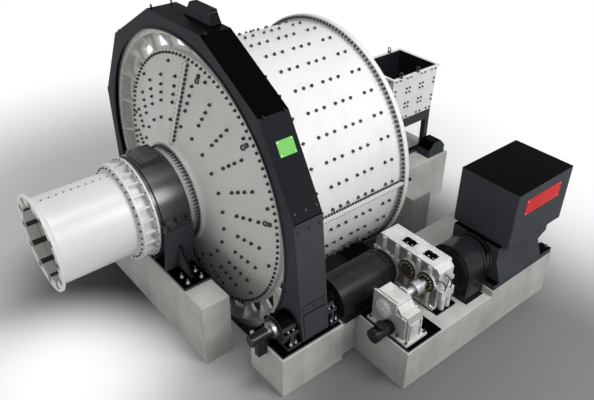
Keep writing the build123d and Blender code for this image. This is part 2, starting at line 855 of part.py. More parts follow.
def arched_cover(half_width, spring_z, wall, y0, y1, x, hole_r, hole_z):
    """A sheet cover over a shaft: arch, end plates, bolting feet and a band round each end."""
    foot_z = drive_pier_top

    def arch(w):
        flanks = Pos(x, (spring_z + foot_z) / 2) * Rectangle(2 * w, spring_z - foot_z)
        keep = oblong(x - w, x + w, foot_z, spring_z + w)
        return (Pos(x, spring_z) * Circle(w) + flanks) & keep

    cover = upright(arch(half_width) - arch(half_width - wall), y0, y1)
    plate = arch(half_width) - disc(hole_r, x, hole_z)
    band = arch(half_width + cover_band_t) - arch(half_width - wall)
    for plate_y, band_y in ((y0, y0), (y1 - wall, y1 - cover_band_w)):
        cover += upright(plate, plate_y, plate_y + wall)
        cover += upright(band, band_y, band_y + cover_band_w)
    foot = block(x + half_width - wall, x + half_width + cover_foot_w, y0, y1, foot_z, foot_z + wall)
    return cover + foot + other_side(foot, x)


# Gearbox


def box_plan(rib_reach):
    """The casting in plan: a plain core with tapered bolt columns along both long sides."""
    core_y0, core_y1 = box_y0 + box_rib_out, box_y1 - box_rib_out
    plan = oblong(box_x0, box_x1, core_y0, core_y1)
    for at in box_ribs:
        middle = box_x0 + at
        for base_y, tip_y in ((core_y0, core_y0 - rib_reach), (core_y1, core_y1 + rib_reach)):
            plan += outline([
                (middle - box_rib_w / 2, base_y),
                (middle - box_rib_tip / 2, tip_y),
                (middle + box_rib_tip / 2, tip_y),
                (middle + box_rib_w / 2, base_y),
            ])
    return plan


def box_bosses():
    """The round bosses of the output, middle and input shafts, through the whole casting."""
    bosses = rod(output_boss_r, box_y0, box_y1, pinion_x, pinion_z)
    for x in (pinion_x + mid_shaft_x, drive_x):
        bosses += rod(shaft_boss_r, box_y0, box_y1, x, drive_z)
    return bosses


def box_bores():
    bores = rod(pinion_shaft_r + fit_gap, box_y0, box_y0 + shaft_seat, pinion_x, pinion_z)
    return bores + rod(input_shaft_r + fit_gap, box_y0, box_y1, drive_x, drive_z)


def gearbox_lower_case():
    case = raised(box_plan(box_rib_out), box_plate_top, drive_z)
    case += block(box_x0, box_x1, box_y0, box_y1, box_plate_top, box_plate_top + box_foot_t)
    case += block(box_x0, box_x1, box_y0, box_y1, drive_z - box_flange_t, drive_z)
    case += box_bosses() & block(box_x0, box_x1, box_y0, box_y1, box_plate_top, drive_z)
    return case - box_bores()


def gearbox_upper_case():
    """The cover: sloped over the output end, with a joint flange, columns and a raised lid."""
    lid_z = box_top - box_lid_t
    case = raised(box_plan(box_rib_out), drive_z, lid_z)
    lid_y0, lid_y1 = box_y0 + box_lid_edge, box_y1 - box_lid_edge
    case += block(box_x0, box_x1, lid_y0, lid_y1, lid_z, box_top)
    case += box_bosses() & block(box_x0, box_x1, box_y0, box_y1, drive_z, box_top)
    profile = outline([
        (box_x0, drive_z),
        (box_x1, drive_z),
        (box_x1, box_top - box_nose),
        (box_x1 - box_nose, box_top),
        (box_x0 + box_slope_x, box_top),
        (box_x0, box_top - box_slope_z),
    ])
    case &= upright(profile, box_y0, box_y1)
    case += block(box_x0, box_x1, box_y0, box_y1, drive_z, drive_z + box_flange_t)
    return case - box_bores()


def gearbox_oil_unit():
    """The valve block on the end of the casting, over two upright filter bowls."""
    middle = (box_y0 + box_y1) / 2
    unit = block(box_x1, box_x1 + oil_t, middle - oil_w / 2, middle + oil_w / 2,
                 box_plate_top + oil_z0, box_plate_top + oil_z1)
    for side in (-1, 1):
        bowl = Cylinder(oil_can_r, oil_z0, align=(Align.CENTER, Align.CENTER, Align.MIN))
        unit += Pos(box_x1 + oil_can_r, middle + side * oil_can_step / 2, box_plate_top) * bowl
    return unit


# Inching unit


def inching_gearbox():
    """A stepped casting on a flanged foot: rimmed front, round cover, ribbed low end and shaft boss."""
    plate_top = box_plate_top
    step_x = drive_x + inching_step_x
    low_top = inching_top - inching_step_h
    rim_y1 = inching_y0 + inching_rim_t
    body_y1 = inching_y1 - inching_rim_t
    body_top = inching_top - inching_rim_w
    case = block(inching_x0 + inching_rim_w, step_x, rim_y1, body_y1, plate_top, body_top)
    case += block(inching_x0, step_x, inching_y0, rim_y1, plate_top, inching_top)
    case += block(inching_x0 + inching_lid_edge + inching_rim_w, step_x - inching_lid_edge,
                  rim_y1 + inching_lid_edge, body_y1 - inching_lid_edge, body_top, body_top + inching_lid_t)
    for third in (1, 2):
        rib_y = rim_y1 + third * (body_y1 - rim_y1) / 3
        case += block(inching_x0 + inching_rim_w - inching_rib_out, inching_x0 + inching_rim_w,
                      rib_y - inching_rib_t / 2, rib_y + inching_rib_t / 2, plate_top, body_top - inching_slope)
    # the low end slopes down from the step, then off towards the drive side
    end_x = inching_x1 - inching_end_t
    low = outline([
        (step_x, plate_top),
        (end_x, plate_top),
        (end_x, low_top - inching_slope),
        (end_x - inching_slope / 2, low_top),
        (step_x + inching_slope, low_top),
        (step_x, low_top + inching_slope),
    ])
    case += upright(low, rim_y1, body_y1)
    case += block(step_x, end_x - inching_slope / 2, inching_y0, rim_y1, plate_top, low_top - inching_rim_w)
    joint_x = step_x + inching_joint_x
    case += block(joint_x, joint_x + inching_joint_t, rim_y1 - inching_joint_w, body_y1 + inching_joint_w,
                  plate_top, low_top + inching_joint_w)
    middle = (rim_y1 + body_y1) / 2
    end_z = low_top - inching_slope - inching_end_r
    case += Pos(end_x, middle, end_z) * Rot(0, 90, 0) * Cylinder(
        inching_end_r, inching_end_t, align=(Align.CENTER, Align.CENTER, Align.MIN))
    for side in (-1, 1):
        rib_y = middle + side * (inching_end_r + inching_rib_t)
        case += block(end_x, end_x + inching_end_t, rib_y - inching_rib_t / 2, rib_y + inching_rib_t / 2,
                      plate_top, low_top - inching_slope)
    case += block(inching_x0 - inching_foot_w, inching_x1 + inching_foot_w, inching_y0 - inching_foot_w,
                  inching_y1 + inching_foot_w, plate_top, plate_top + inching_foot_t)
    cover_x = (inching_x0 + step_x) / 2
    cover_z = (plate_top + inching_top + inching_step_h) / 2
    case += rod(inching_cover_r, inching_y0 - inching_cover_t, inching_y0, cover_x, cover_z)
    case += rod(inching_cover_r - inching_rim_w, inching_y0 - 2 * inching_cover_t, inching_y0, cover_x, cover_z)
    case += rod(inching_boss_r, body_y1, inching_y1, drive_x, drive_z)
    return case - rod(input_shaft_r + fit_gap, inching_y1 - shaft_seat, inching_y1, drive_x, drive_z)


def inching_motor():
    """A small flanged motor with a fan cowl and a terminal box."""
    x, z = drive_x + inching_motor_x, drive_pier_top + inching_motor_rise
    y0 = inching_y0 - inching_motor_len
    y1 = inching_y0 - inching_foot_w
    motor = turned([
        (0, y0),
        (inching_motor_cowl_r, y0),
        (inching_motor_cowl_r, y0 + inching_motor_cowl),
        (inching_motor_r, y0 + inching_motor_cowl),
        (inching_motor_r, y1 - inching_motor_flange_t),
        (inching_motor_flange_r, y1 - inching_motor_flange_t),
        (inching_motor_flange_r, y1),
        (inching_motor_r, y1),
        (inching_motor_r, inching_y0),
        (0, inching_y0),
    ], x, z)
    motor -= block(x - inching_motor_r, x + inching_motor_r, inching_y0 - inching_foot_w, inching_y0,
                   drive_pier_top, box_plate_top + inching_foot_t)
    box_y = y0 + inching_motor_cowl
    return motor + block(x - inching_box_x, x + inching_box_x, box_y, box_y + inching_box_len,
                         z, z + inching_motor_r + inching_box_h)


def inching_shaft():
    shaft = rod(input_shaft_r, inching_y1 - shaft_seat + swing_gap, box_y0 + shaft_seat, drive_x, drive_z)
    hub_y1 = box_y0 - shaft_hub_front
    return shaft + rod(shaft_hub_r, hub_y1 - shaft_hub_len, hub_y1, drive_x, drive_z)


# Motor


def motor_coupling_guard():
    cover = arched_cover(hood_x, drive_z, hood_wall, hood_y0, hood_y1, drive_x,
                         input_shaft_r + swing_gap, drive_z)
    z0 = drive_pier_top + hood_panel_z0
    panel = block(drive_x + hood_x - hood_wall, drive_x + hood_x + hood_panel_t,
                  hood_y0 + hood_panel_margin, hood_y1 - hood_panel_margin, z0, z0 + hood_panel_h)
    return cover + panel + other_side(panel, drive_x)


def motor_base():
    """Two rails that lie along the motor's feet."""
    rail = block(drive_x + motor_base_x - motor_rail_w, drive_x + motor_base_x,
                 motor_step_y + motor_base_front, drive_pier_y1 - motor_base_back, motor_floor, motor_sole)
    return Compound([rail, other_side(rail, drive_x)])


def motor_body():
    """The stator housing: flared feet, a tail that steps up under the hood, and an end bell."""
    y1 = motor_y0 + motor_len
    section = outline([
        (drive_x - motor_base_x, motor_sole),
        (drive_x + motor_base_x, motor_sole),
        (drive_x + motor_base_x, motor_sole + motor_foot_z),
        (drive_x + motor_x, motor_sole + motor_flare_z),
        (drive_x + motor_x, motor_hood_z0),
        (drive_x - motor_x, motor_hood_z0),
        (drive_x - motor_x, motor_sole + motor_flare_z),
        (drive_x - motor_base_x, motor_sole + motor_foot_z),
    ])
    tail_z = motor_sole + motor_tail_z
    side = sideways([
        (motor_y0, motor_sole),
        (y1, motor_sole),
        (y1, tail_z),
        (y1 + motor_tail, tail_z + motor_tail_rise),
        (y1 + motor_tail, motor_hood_z0),
        (motor_y0, motor_hood_z0),
    ], drive_x - motor_base_x, drive_x + motor_base_x)
    body = upright(section, motor_y0, y1 + motor_tail) & side
    bell_y0 = motor_y0 - motor_bell_t
    body += turned([
        (0, bell_y0),
        (motor_bell_r - motor_bell_ring, bell_y0),
        (motor_bell_r - motor_bell_ring, motor_y0 - motor_bell_ring_t),
        (motor_bell_r, motor_y0 - motor_bell_ring_t),
        (motor_bell_r, motor_y0),
        (0, motor_y0),
    ], drive_x, drive_z)
    return body - rod(input_shaft_r + fit_gap, bell_y0, bell_y0 + shaft_seat, drive_x, drive_z)


def motor_hood():
    hood = block(drive_x - motor_hood_x, drive_x + motor_hood_x, motor_hood_y0, motor_hood_y1,
                 motor_hood_z0, motor_hood_z0 + motor_hood_h)
    return chamfer(hood.edges().filter_by(Axis.Z), motor_hood_edge)


# Feed end


def hopper():
    """An open-topped bin whose walls lean in towards the bottom, with a rim and a hole into the boot."""
    mid_y = (hopper_y0 + hopper_y1) / 2
    half_y = (hopper_y1 - hopper_y0) / 2

    def bin_solid(inset, z0, z1):
        low = Plane((0, mid_y, z0)) * Rectangle(
            2 * (hopper_x - hopper_taper - inset), 2 * (half_y - hopper_taper - inset))
        high = Plane((0, mid_y, z1)) * Rectangle(2 * (hopper_x - inset), 2 * (half_y - inset))
        return loft([low, high])

    rim = block(-hopper_x - hopper_rim_w, hopper_x + hopper_rim_w, hopper_y0 - hopper_rim_w,
                hopper_y1 + hopper_rim_w, hopper_z1 - hopper_rim_t, hopper_z1)
    walls = bin_solid(0, hopper_z0, hopper_z1) + rim
    walls -= bin_solid(hopper_wall, hopper_z0 + hopper_wall, hopper_z1)
    drop_y0 = boot_y0 + hopper_wall
    return walls - block(-boot_x + boot_wall, boot_x - boot_wall, drop_y0, boot_y1 - boot_wall,
                         hopper_z0 - hopper_wall, hopper_z0 + 2 * hopper_wall)


def feed_boot():
    """The box under the hopper that turns the feed into the spout."""
    box = block(-boot_x, boot_x, boot_y0, boot_y1, boot_z0, hopper_z0)
    box -= block(-boot_x + boot_wall, boot_x - boot_wall, boot_y0 + boot_wall, boot_y1 - boot_wall,
                 boot_z0 + boot_wall, hopper_z0)
    return box - rod(feed_spout_r - boot_wall, boot_y0, boot_y0 + boot_wall, 0, feed_spout_z)


def feed_spout():
    return tube(feed_spout_r, feed_spout_r - boot_wall, feed_end_y - feed_spout_in, boot_y0, 0, feed_spout_z)


def chute_frame():
    """Four legs on two sills, and a ring of beams that the hopper stands on."""
    beam_z0 = hopper_z0 - frame_beam_h
    x1 = hopper_x - hopper_taper
    y0, y1 = boot_y0, hopper_y1 - hopper_taper
    side = block(x1 - frame_bar, x1, y0, y1, beam_z0, hopper_z0)
    side += block(x1 - frame_bar, x1, y0, y1, chute_pier_top, chute_pier_top + frame_sill_h)
    for y in (y0, y1 - frame_bar):
        side += block(x1 - frame_bar, x1, y, y + frame_bar, chute_pier_top, hopper_z0)
    back_beam = block(-x1, x1, y1 - frame_bar, y1, beam_z0, hopper_z0)
    return side + back_beam + other_side(side)


def chute_winch():
    """A gate winch under a cover with sloped shoulders."""
    x0 = hopper_x + winch_side
    y0 = hopper_y1 - winch_over
    y1 = y0 + winch_len
    z0 = chute_pier_top
    shoulder_z = z0 + winch_shoulder * winch_h
    inset = winch_top * winch_len
    return sideways([
        (y0, z0),
        (y1, z0),
        (y1, shoulder_z),
        (y1 - inset, z0 + winch_h),
        (y0 + inset, z0 + winch_h),
        (y0, shoulder_z),
    ], x0, x0 + winch_w)


# Piers


def pier(x0, x1, y0, y1, top):
    """A cast block with bevelled top edges."""
    shape = block(x0, x1, y0, y1, 0, top)
    return chamfer(shape.faces().sort_by(Axis.Z)[-1].edges(), pier_edge)


# Every piece, by the name of its file

pieces = {}

pieces["discharge_pier"] = pier(-pier_x, pier_x, -pier_y, pier_y, pier_top)
pieces["feed_pier"] = mirrored(pieces["discharge_pier"])
pieces["chute_pier"] = pier(-chute_pier_x, chute_pier_x, chute_pier_y0, chute_pier_y1, chute_pier_top)
pieces["pinion_pier"] = (
    pier(pinion_pier_x0, pinion_pier_x1, pinion_pier_y0, pinion_pier_y1, drive_pier_top)
    + block(pinion_pier_x0, pinion_pier_x1 - pinion_pier_neck, pinion_pier_y1 - pier_edge, drive_pier_y0,
            0, drive_pier_top)
    - pinion_pocket()
)
pieces["drive_pier"] = (
    pier(pinion_pier_x0, drive_pier_x1, drive_pier_y0, motor_step_y + pier_edge, drive_pier_top)
    + pier(pinion_pier_x0, drive_pier_x1, motor_step_y, drive_pier_y1, motor_floor)
)

pieces["discharge_bearing_base"] = bearing_base()
pieces["discharge_bearing_cap"] = bearing_cap()
pieces["feed_bearing_base"] = mirrored(pieces["discharge_bearing_base"])
pieces["feed_bearing_cap"] = mirrored(pieces["discharge_bearing_cap"])

pieces["shell_upper"] = half_shell()
pieces["shell_lower"] = lower(pieces["shell_upper"])
pieces["discharge_head_right"] = head_half()
pieces["discharge_head_left"] = other_side(pieces["discharge_head_right"])
pieces["feed_head_right"] = mirrored(pieces["discharge_head_right"])
pieces["feed_head_left"] = mirrored(pieces["discharge_head_left"])
pieces["discharge_trunnion"] = trunnion()
pieces["feed_trunnion"] = mirrored(pieces["discharge_trunnion"])
pieces["spout_hub"] = spout_hub()
pieces["discharge_spout"] = discharge_spout()
pieces["ring_gear_rim"] = ring_gear_rim()
pieces["ring_gear_web"] = ring_gear_web()

for side, face in guard_faces().items():
    lip = face & disc(guard_bore_r + guard_seal_w)
    pieces["guard_front_" + side] = (
        upright(face, guard_y0, guard_y0 + guard_t) + upright(lip, guard_y0 - guard_seal_t, guard_y0))
    pieces["guard_rear_" + side] = upright(face, guard_y1 - guard_t, guard_y1)
for side, face in guard_rims().items():
    pieces["guard_rim_" + side] = upright(face, guard_y0 + guard_t, guard_y1 - guard_t)
pieces["guard_hatch"] = guard_hatch()

pieces["pinion_soleplate"] = block(
    pinion_pier_x0 + sole_margin, pinion_pier_x1 - sole_margin,
    pinion_pier_y0 + sole_margin, pinion_pier_y1 - sole_margin, drive_pier_top, sole_top
) - pinion_pocket()
pieces["pinion_bearing_front"] = pinion_block(front_block_y0, front_block_y1, -1)
pieces["pinion_bearing_rear"] = pinion_block(rear_block_y0, rear_block_y1, 1)
pieces["pinion_cover_panel"] = pinion_cover_panel()
pieces["pinion_end_cover"] = pinion_end_cover()
pieces["pinion"] = pinion()
pieces["pinion_shaft_front"] = pinion_shaft_front()
pieces["pinion_shaft_rear"] = rod(pinion_shaft_r, pinion_y1, hub_y0, pinion_x, pinion_z)
pieces["pinion_coupling"] = pinion_coupling()
pieces["gearbox_output_shaft"] = rod(
    pinion_shaft_r, hub_y0 + hub_len, box_y0 + shaft_seat - swing_gap, pinion_x, pinion_z)
pieces["coupling_guard"] = arched_cover(
    tunnel_x, pinion_z - tunnel_drop, tunnel_wall, tunnel_y0, tunnel_y1, pinion_x,
    pinion_shaft_r + swing_gap, pinion_z)

pieces["gearbox_baseplate"] = block(
    box_x0, box_x1 + box_plate_out, box_y0, box_y1, drive_pier_top, box_plate_top)
pieces["gearbox_lower_case"] = gearbox_lower_case()
pieces["gearbox_upper_case"] = gearbox_upper_case()
pieces["gearbox_oil_unit"] = gearbox_oil_unit()
pieces["inching_baseplate"] = block(
    drive_x - inching_plate_in, drive_x + inching_plate_out, inching_plate_y0,
    inching_plate_y0 + inching_plate_len, drive_pier_top, box_plate_top)
pieces["inching_gearbox"] = inching_gearbox()
pieces["inching_motor"] = inching_motor()
pieces["inching_shaft"] = inching_shaft()
pieces["motor_shaft"] = rod(
    input_shaft_r, box_y1 - shaft_seat, motor_y0 - motor_bell_t + shaft_seat - swing_gap, drive_x, drive_z)
pieces["motor_coupling_guard"] = motor_coupling_guard()
pieces["motor_base"] = motor_base()
pieces["motor_body"] = motor_body()
pieces["motor_hood"] = motor_hood()

pieces["feed_hopper"] = hopper()
pieces["feed_boot"] = feed_boot()
pieces["feed_spout"] = feed_spout()
pieces["chute_frame"] = chute_frame()
pieces["chute_winch"] = chute_winch()

for name, shape in pieces.items():
    export_step(shape, "parts/" + name + ".step")
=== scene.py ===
import json
import math

import bpy
import numpy as np
from mathutils import Matrix, Vector


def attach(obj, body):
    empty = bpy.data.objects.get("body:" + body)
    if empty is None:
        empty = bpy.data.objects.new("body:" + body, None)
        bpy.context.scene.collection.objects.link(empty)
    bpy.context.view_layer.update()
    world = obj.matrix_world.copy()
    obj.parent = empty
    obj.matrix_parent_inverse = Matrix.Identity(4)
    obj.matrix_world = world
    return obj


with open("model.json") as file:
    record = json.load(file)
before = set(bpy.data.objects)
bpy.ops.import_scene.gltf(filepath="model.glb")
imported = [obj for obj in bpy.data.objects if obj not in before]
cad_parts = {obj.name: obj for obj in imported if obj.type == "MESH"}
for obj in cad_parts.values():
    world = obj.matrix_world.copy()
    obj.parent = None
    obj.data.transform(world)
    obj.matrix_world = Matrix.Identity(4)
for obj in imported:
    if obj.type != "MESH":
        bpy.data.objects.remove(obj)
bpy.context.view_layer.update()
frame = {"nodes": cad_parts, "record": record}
nodes = frame["nodes"]
print("frame loaded:", len(nodes), "nodes")

axisZ = 3.6            # mill axis above the base
midY = 3.0215          # half way between the two heads
tau = 2 * math.pi
upward, downward = (0, 0, 1), (0, 0, -1)

# camera

cameraView = {
    "place": (10.797, -4.788, 11.391),
    "azimuth": 50.749,     # degrees round the mill, 0 looks along +Y
    "elevation": 34.244,
    "roll": 0.257,
    "lens": 39.54,
    "sensor": 36.0,
    "clip": (0.1, 400.0),
}


def makeCamera(view):
    data = bpy.data.cameras.new("photoCamera")
    data.lens = view["lens"]
    data.sensor_width = view["sensor"]
    data.clip_start, data.clip_end = view["clip"]
    camera = bpy.data.objects.new("photoCamera", data)
    bpy.context.scene.collection.objects.link(camera)
    az, el = math.radians(view["azimuth"]), math.radians(view["elevation"])
    back = Vector((math.sin(az) * math.cos(el), -math.cos(az) * math.cos(el), math.sin(el)))
    turn = (-back).to_track_quat("-Z", "Y").to_matrix().to_4x4()
    turn = turn @ Matrix.Rotation(math.radians(view["roll"]), 4, "Z")
    camera.matrix_world = Matrix.Translation(view["place"]) @ turn
    bpy.context.scene.camera = camera


makeCamera(cameraView)

# materials: a wrapped socket takes part in plain sums, and each sum adds its Math node


class Wire:
    def __init__(self, tree, socket):
        self.tree, self.socket = tree, socket

    def maths(self, kind, first, second=None):
        values = {0: first} if second is None else {0: first, 1: second}
        return self.tree.node("ShaderNodeMath", {"operation": kind}, values)

    def __add__(self, other):
        return self.maths("ADD", self, other)

    def __radd__(self, other):
        return self.maths("ADD", other, self)

    def __sub__(self, other):
        return self.maths("SUBTRACT", self, other)

    def __rsub__(self, other):
        return self.maths("SUBTRACT", other, self)

    def __mul__(self, other):
        return self.maths("MULTIPLY", self, other)

    def __rmul__(self, other):
        return self.maths("MULTIPLY", other, self)

    def __pow__(self, other):
        return self.maths("POWER", self, other)

    def above(self, low, high):       # 0 under low, 1 over high, smooth between
        settings = {"interpolation_type": "SMOOTHSTEP"}
        return self.tree.node("ShaderNodeMapRange", settings, {"Value": self, 1: low, 2: high})

    def fraction(self):
        return self.maths("FRACT", self)

    def size(self):
        return self.maths("ABSOLUTE", self)

    def least(self, other):
        return self.maths("MINIMUM", self, other)

    def most(self, other):
        return self.maths("MAXIMUM", self, other)


class Tree:
    def __init__(self, tree):
        self.tree = tree

    def node(self, kind, settings, values, output=0):
        made = self.tree.nodes.new(kind)
        for key, value in settings.items():
            if key == "stops":
                self.setStops(made.color_ramp, value)
            else:
                setattr(made, key, value)
        for key, value in values.items():
            socket = made.inputs[key]
            if isinstance(value, Wire):
                self.tree.links.new(value.socket, socket)
            else:
                socket.default_value = value
        return Wire(self, made.outputs[output])

    def setStops(self, ramp, stops):
        while len(ramp.elements) < len(stops):
            ramp.elements.new(1.0)
        for element, (at, colour) in zip(ramp.elements, stops):
            element.position, element.color = at, (*colour, 1.0)

    def surface(self, shader):
        ends = [node for node in self.tree.nodes if node.type in ("OUTPUT_MATERIAL", "OUTPUT_WORLD")]
        self.tree.links.new(shader.socket, ends[0].inputs["Surface"])

    def seenDirectly(self):            # 1 where the camera sees it, itself or mirrored in metal or glass
        seen = self.node("ShaderNodeLightPath", {}, {}, "Is Camera Ray")
        for ray in ("Is Glossy Ray", "Is Transmission Ray"):
            seen = seen.most(self.node("ShaderNodeLightPath", {}, {}, ray))
        return seen


class Paint(Tree):
    def __init__(self, name, roughness=0.5, metallic=0.0):
        self.material = bpy.data.materials.new(name)
        self.material.use_nodes = True
        super().__init__(self.material.node_tree)
        self.shader = self.tree.nodes["Principled BSDF"]
        self.feed("Roughness", roughness)
        self.feed("Metallic", metallic)
        self.place = self.node("ShaderNodeTexCoord", {}, {}, "Object")

    def feed(self, name, value):
        socket = self.shader.inputs[name]
        if isinstance(value, Wire):
            self.tree.links.new(value.socket, socket)
        else:
            socket.default_value = value

    def noise(self, scale, detail=4.0, roughness=0.55, stretch=None):
        place = self.place
        if stretch:
            place = self.node("ShaderNodeMapping", {}, {"Vector": place, "Scale": stretch})
        return self.node("ShaderNodeTexNoise", {}, {
            "Vector": place, "Scale": scale, "Detail": detail, "Roughness": roughness})

    def blend(self, factor, first, second):
        settings = {"data_type": "RGBA"}
        first = first if isinstance(first, Wire) else (*first, 1.0)
        second = second if isinstance(second, Wire) else (*second, 1.0)
        return self.node("ShaderNodeMix", settings, {0: factor, 6: first, 7: second}, 2)

    def ramp(self, factor, stops):
        return self.node("ShaderNodeValToRGB", {"stops": stops}, {0: factor})

    def part(self, axis):              # one coordinate of the place on the object
        return self.node("ShaderNodeSeparateXYZ", {}, {0: self.place}, axis)

    def facing(self, axis):            # how far a face looks along one axis, 1 straight along it
        normal = self.node("ShaderNodeNewGeometry", {}, {}, "Normal")
        return self.node("ShaderNodeSeparateXYZ", {}, {0: normal}, axis)

    def fromAxis(self):                # distance from the mill axis
        x, z = self.part("X"), self.part("Z") - axisZ
        return (x * x + z * z) ** 0.5

    def roundAxis(self):               # the turn round the mill axis, in whole turns from 0.5 to 1.5
        x, z = self.part("X"), self.part("Z") - axisZ
        return z.maths("ARCTAN2", z, x) * (1 / tau) + 1

    def bump(self, height, strength, distance):
        normal = self.node("ShaderNodeBump", {}, {
            "Height": height, "Strength": strength, "Distance": distance})
        self.feed("Normal", normal)


def enamel(name, base, dusty, roughness, grain, topTone=None, ior=1.45):
    # two scales of cloudiness tint the paint towards a dusty tone, fine grain is orange peel
    paint = Paint(name, roughness=roughness)
    paint.feed("IOR", ior)
    clouds = paint.noise(0.9, 5.0)
    runs = paint.noise(2.2, 4.0, stretch=(1.0, 1.0, 0.18))
    mask = (clouds * 0.6 + runs * 0.4).above(0.42, 0.68)
    colour = paint.blend(mask, base, dusty)
    # painted shade: faces that look up are blended to the top tone, so tops read darker than the sides
    if topTone:
        colour = paint.blend(paint.facing("Z").above(0.3, 0.6), colour, topTone)
    paint.feed("Base Color", colour)
    paint.feed("Roughness", mask * 0.10 + (roughness - 0.05))
    paint.bump(paint.noise(grain, 3.0), 0.05, 0.004)
    return paint.material


def castPaint(name, base, dusty, roughness, recessShade=None):
    # painted casting: coarse sand-mould pits under the coat, and painted shade in the recesses between
    # columns
    paint = Paint(name, roughness=roughness)
    clouds = paint.noise(3.0, 5.0)
    sand = paint.noise(60.0, 6.0, 0.7)
    colour = paint.blend(clouds.above(0.38, 0.66), base, dusty)
    if recessShade:
        frontY, backY, tone = recessShade
        y, ahead, level = paint.part("Y"), paint.facing("X"), paint.facing("Z")
        depth = (y - frontY).least(backY - y)
        upright = (1 - (ahead * ahead).above(0.80, 0.95)) * (1 - (level * level).above(0.2, 0.5))
        # painted shade: upright faces set back from the front and back faces darken towards the recess tone
        colour = paint.blend(depth.above(0.012, 0.070) * upright * (clouds * 0.5 + 0.55), colour, tone)
    paint.feed("Base Color", colour)
    paint.feed("Roughness", clouds * 0.16 + (roughness - 0.08))
    paint.bump(sand * 0.7 + clouds * 0.3, 0.18, 0.006)
    return paint.material


def bareSteel(name, base, stain, roughness, metallic):
    # cloudy stains over metal that is brushed along Y
    paint = Paint(name, roughness=roughness, metallic=metallic)
    stains = paint.noise(7.0, 5.0)
    brushed = paint.noise(30.0, 3.0, stretch=(1.0, 0.06, 1.0))
    paint.feed("Base Color", paint.blend(stains.above(0.4, 0.7), base, stain))
    paint.feed("Roughness", stains * 0.18 + brushed * 0.1 + (roughness - 0.14))
    paint.bump(brushed, 0.08, 0.002)
    return paint.material


gearFinish = {
    "base": (0.70, 0.69, 0.66), "worn": (0.50, 0.49, 0.47), "grease": (0.07, 0.065, 0.06),
    "toothRoot": 3.4125, "rootEdge": (0.012, 0.006),
}


def paintedGear(g):
    # white rim and tooth ends; beyond the roots the flanks, which don't look along Y, are greased
    paint = Paint("paintedGear", roughness=0.42)
    sideways = paint.facing("Y")
    flank = 1 - (sideways * sideways).above(0.3, 0.6)
    teeth = paint.fromAxis().above(*(g["toothRoot"] - edge for edge in g["rootEdge"])) * flank
    smears = paint.noise(9.0, 5.0)
    white = paint.blend(smears.above(0.45, 0.75), g["base"], g["worn"])
    paint.feed("Base Color", paint.blend(teeth, white, g["grease"]))
    paint.feed("Metallic", teeth * 0.7)
    paint.feed("Roughness", smears * 0.2 + 0.3)
    return paint.material


spoutFinish = {
    "base": (0.80, 0.79, 0.775), "liner": (0.74, 0.715, 0.675), "wornLiner": (0.62, 0.60, 0.56),
    "joint": (0.035, 0.034, 0.030), "lipR": 0.955, "lipEdge": 0.002, "mouthY": (2.30, 2.34),
    "plates": 12, "firstJoint": 1.0,        # degrees
    "jointShare": 0.28, "jointEdge": 0.01,
}


def linedSpout(s):
    # white outside; the mouth's flat face inside lipR is liner, with a dark joint at each plate's end
    paint = Paint("linedSpout", roughness=0.34)
    inside = 1 - paint.fromAxis().above(s["lipR"] - s["lipEdge"], s["lipR"] + s["lipEdge"])
    lip = inside * (0 - paint.facing("Y")).above(0.7, 0.9) * (0 - paint.part("Y")).above(*s["mouthY"])
    across = (paint.roundAxis() * s["plates"] - s["firstJoint"] / 360 * s["plates"] + 0.5).fraction()
    half = s["jointShare"] / 2
    offJoint = (across - 0.5).size().above(half - s["jointEdge"], half + s["jointEdge"])
    clouds = paint.noise(1.5, 5.0)
    mouth = paint.blend(offJoint, s["joint"], paint.blend(clouds, s["liner"], s["wornLiner"]))
    paint.feed("Base Color", paint.blend(lip, s["base"], mouth))
    paint.feed("Roughness", lip * 0.2 + clouds * 0.08 + 0.30)
    paint.bump(paint.noise(90.0, 3.0), 0.04, 0.004)
    return paint.material


def castConcrete():
    # cloudy grey with darker damp blooms, fine sand and round pores
    paint = Paint("castConcrete", roughness=0.88)
    clouds = paint.noise(1.1, 6.0, 0.6)
    sand = paint.noise(38.0, 4.0, 0.7)
    runs = paint.noise(3.0, 4.0, stretch=(1.0, 1.0, 0.12))
    pores = paint.node("ShaderNodeTexVoronoi", {}, {"Vector": paint.place, "Scale": 9.0})
    tone = clouds * 0.55 + runs * 0.25 + sand * 0.2
    colour = paint.ramp(tone, [
        (0.30, (0.32, 0.315, 0.295)), (0.50, (0.47, 0.465, 0.44)), (0.70, (0.60, 0.595, 0.565))])
    pits = 1 - pores.above(0.05, 0.12)
    paint.feed("Base Color", paint.blend(pits * 0.55, colour, (0.20, 0.195, 0.185)))
    paint.bump(sand * 0.5 + clouds * 0.4 - pits * 0.6, 0.35, 0.012)
    return paint.material


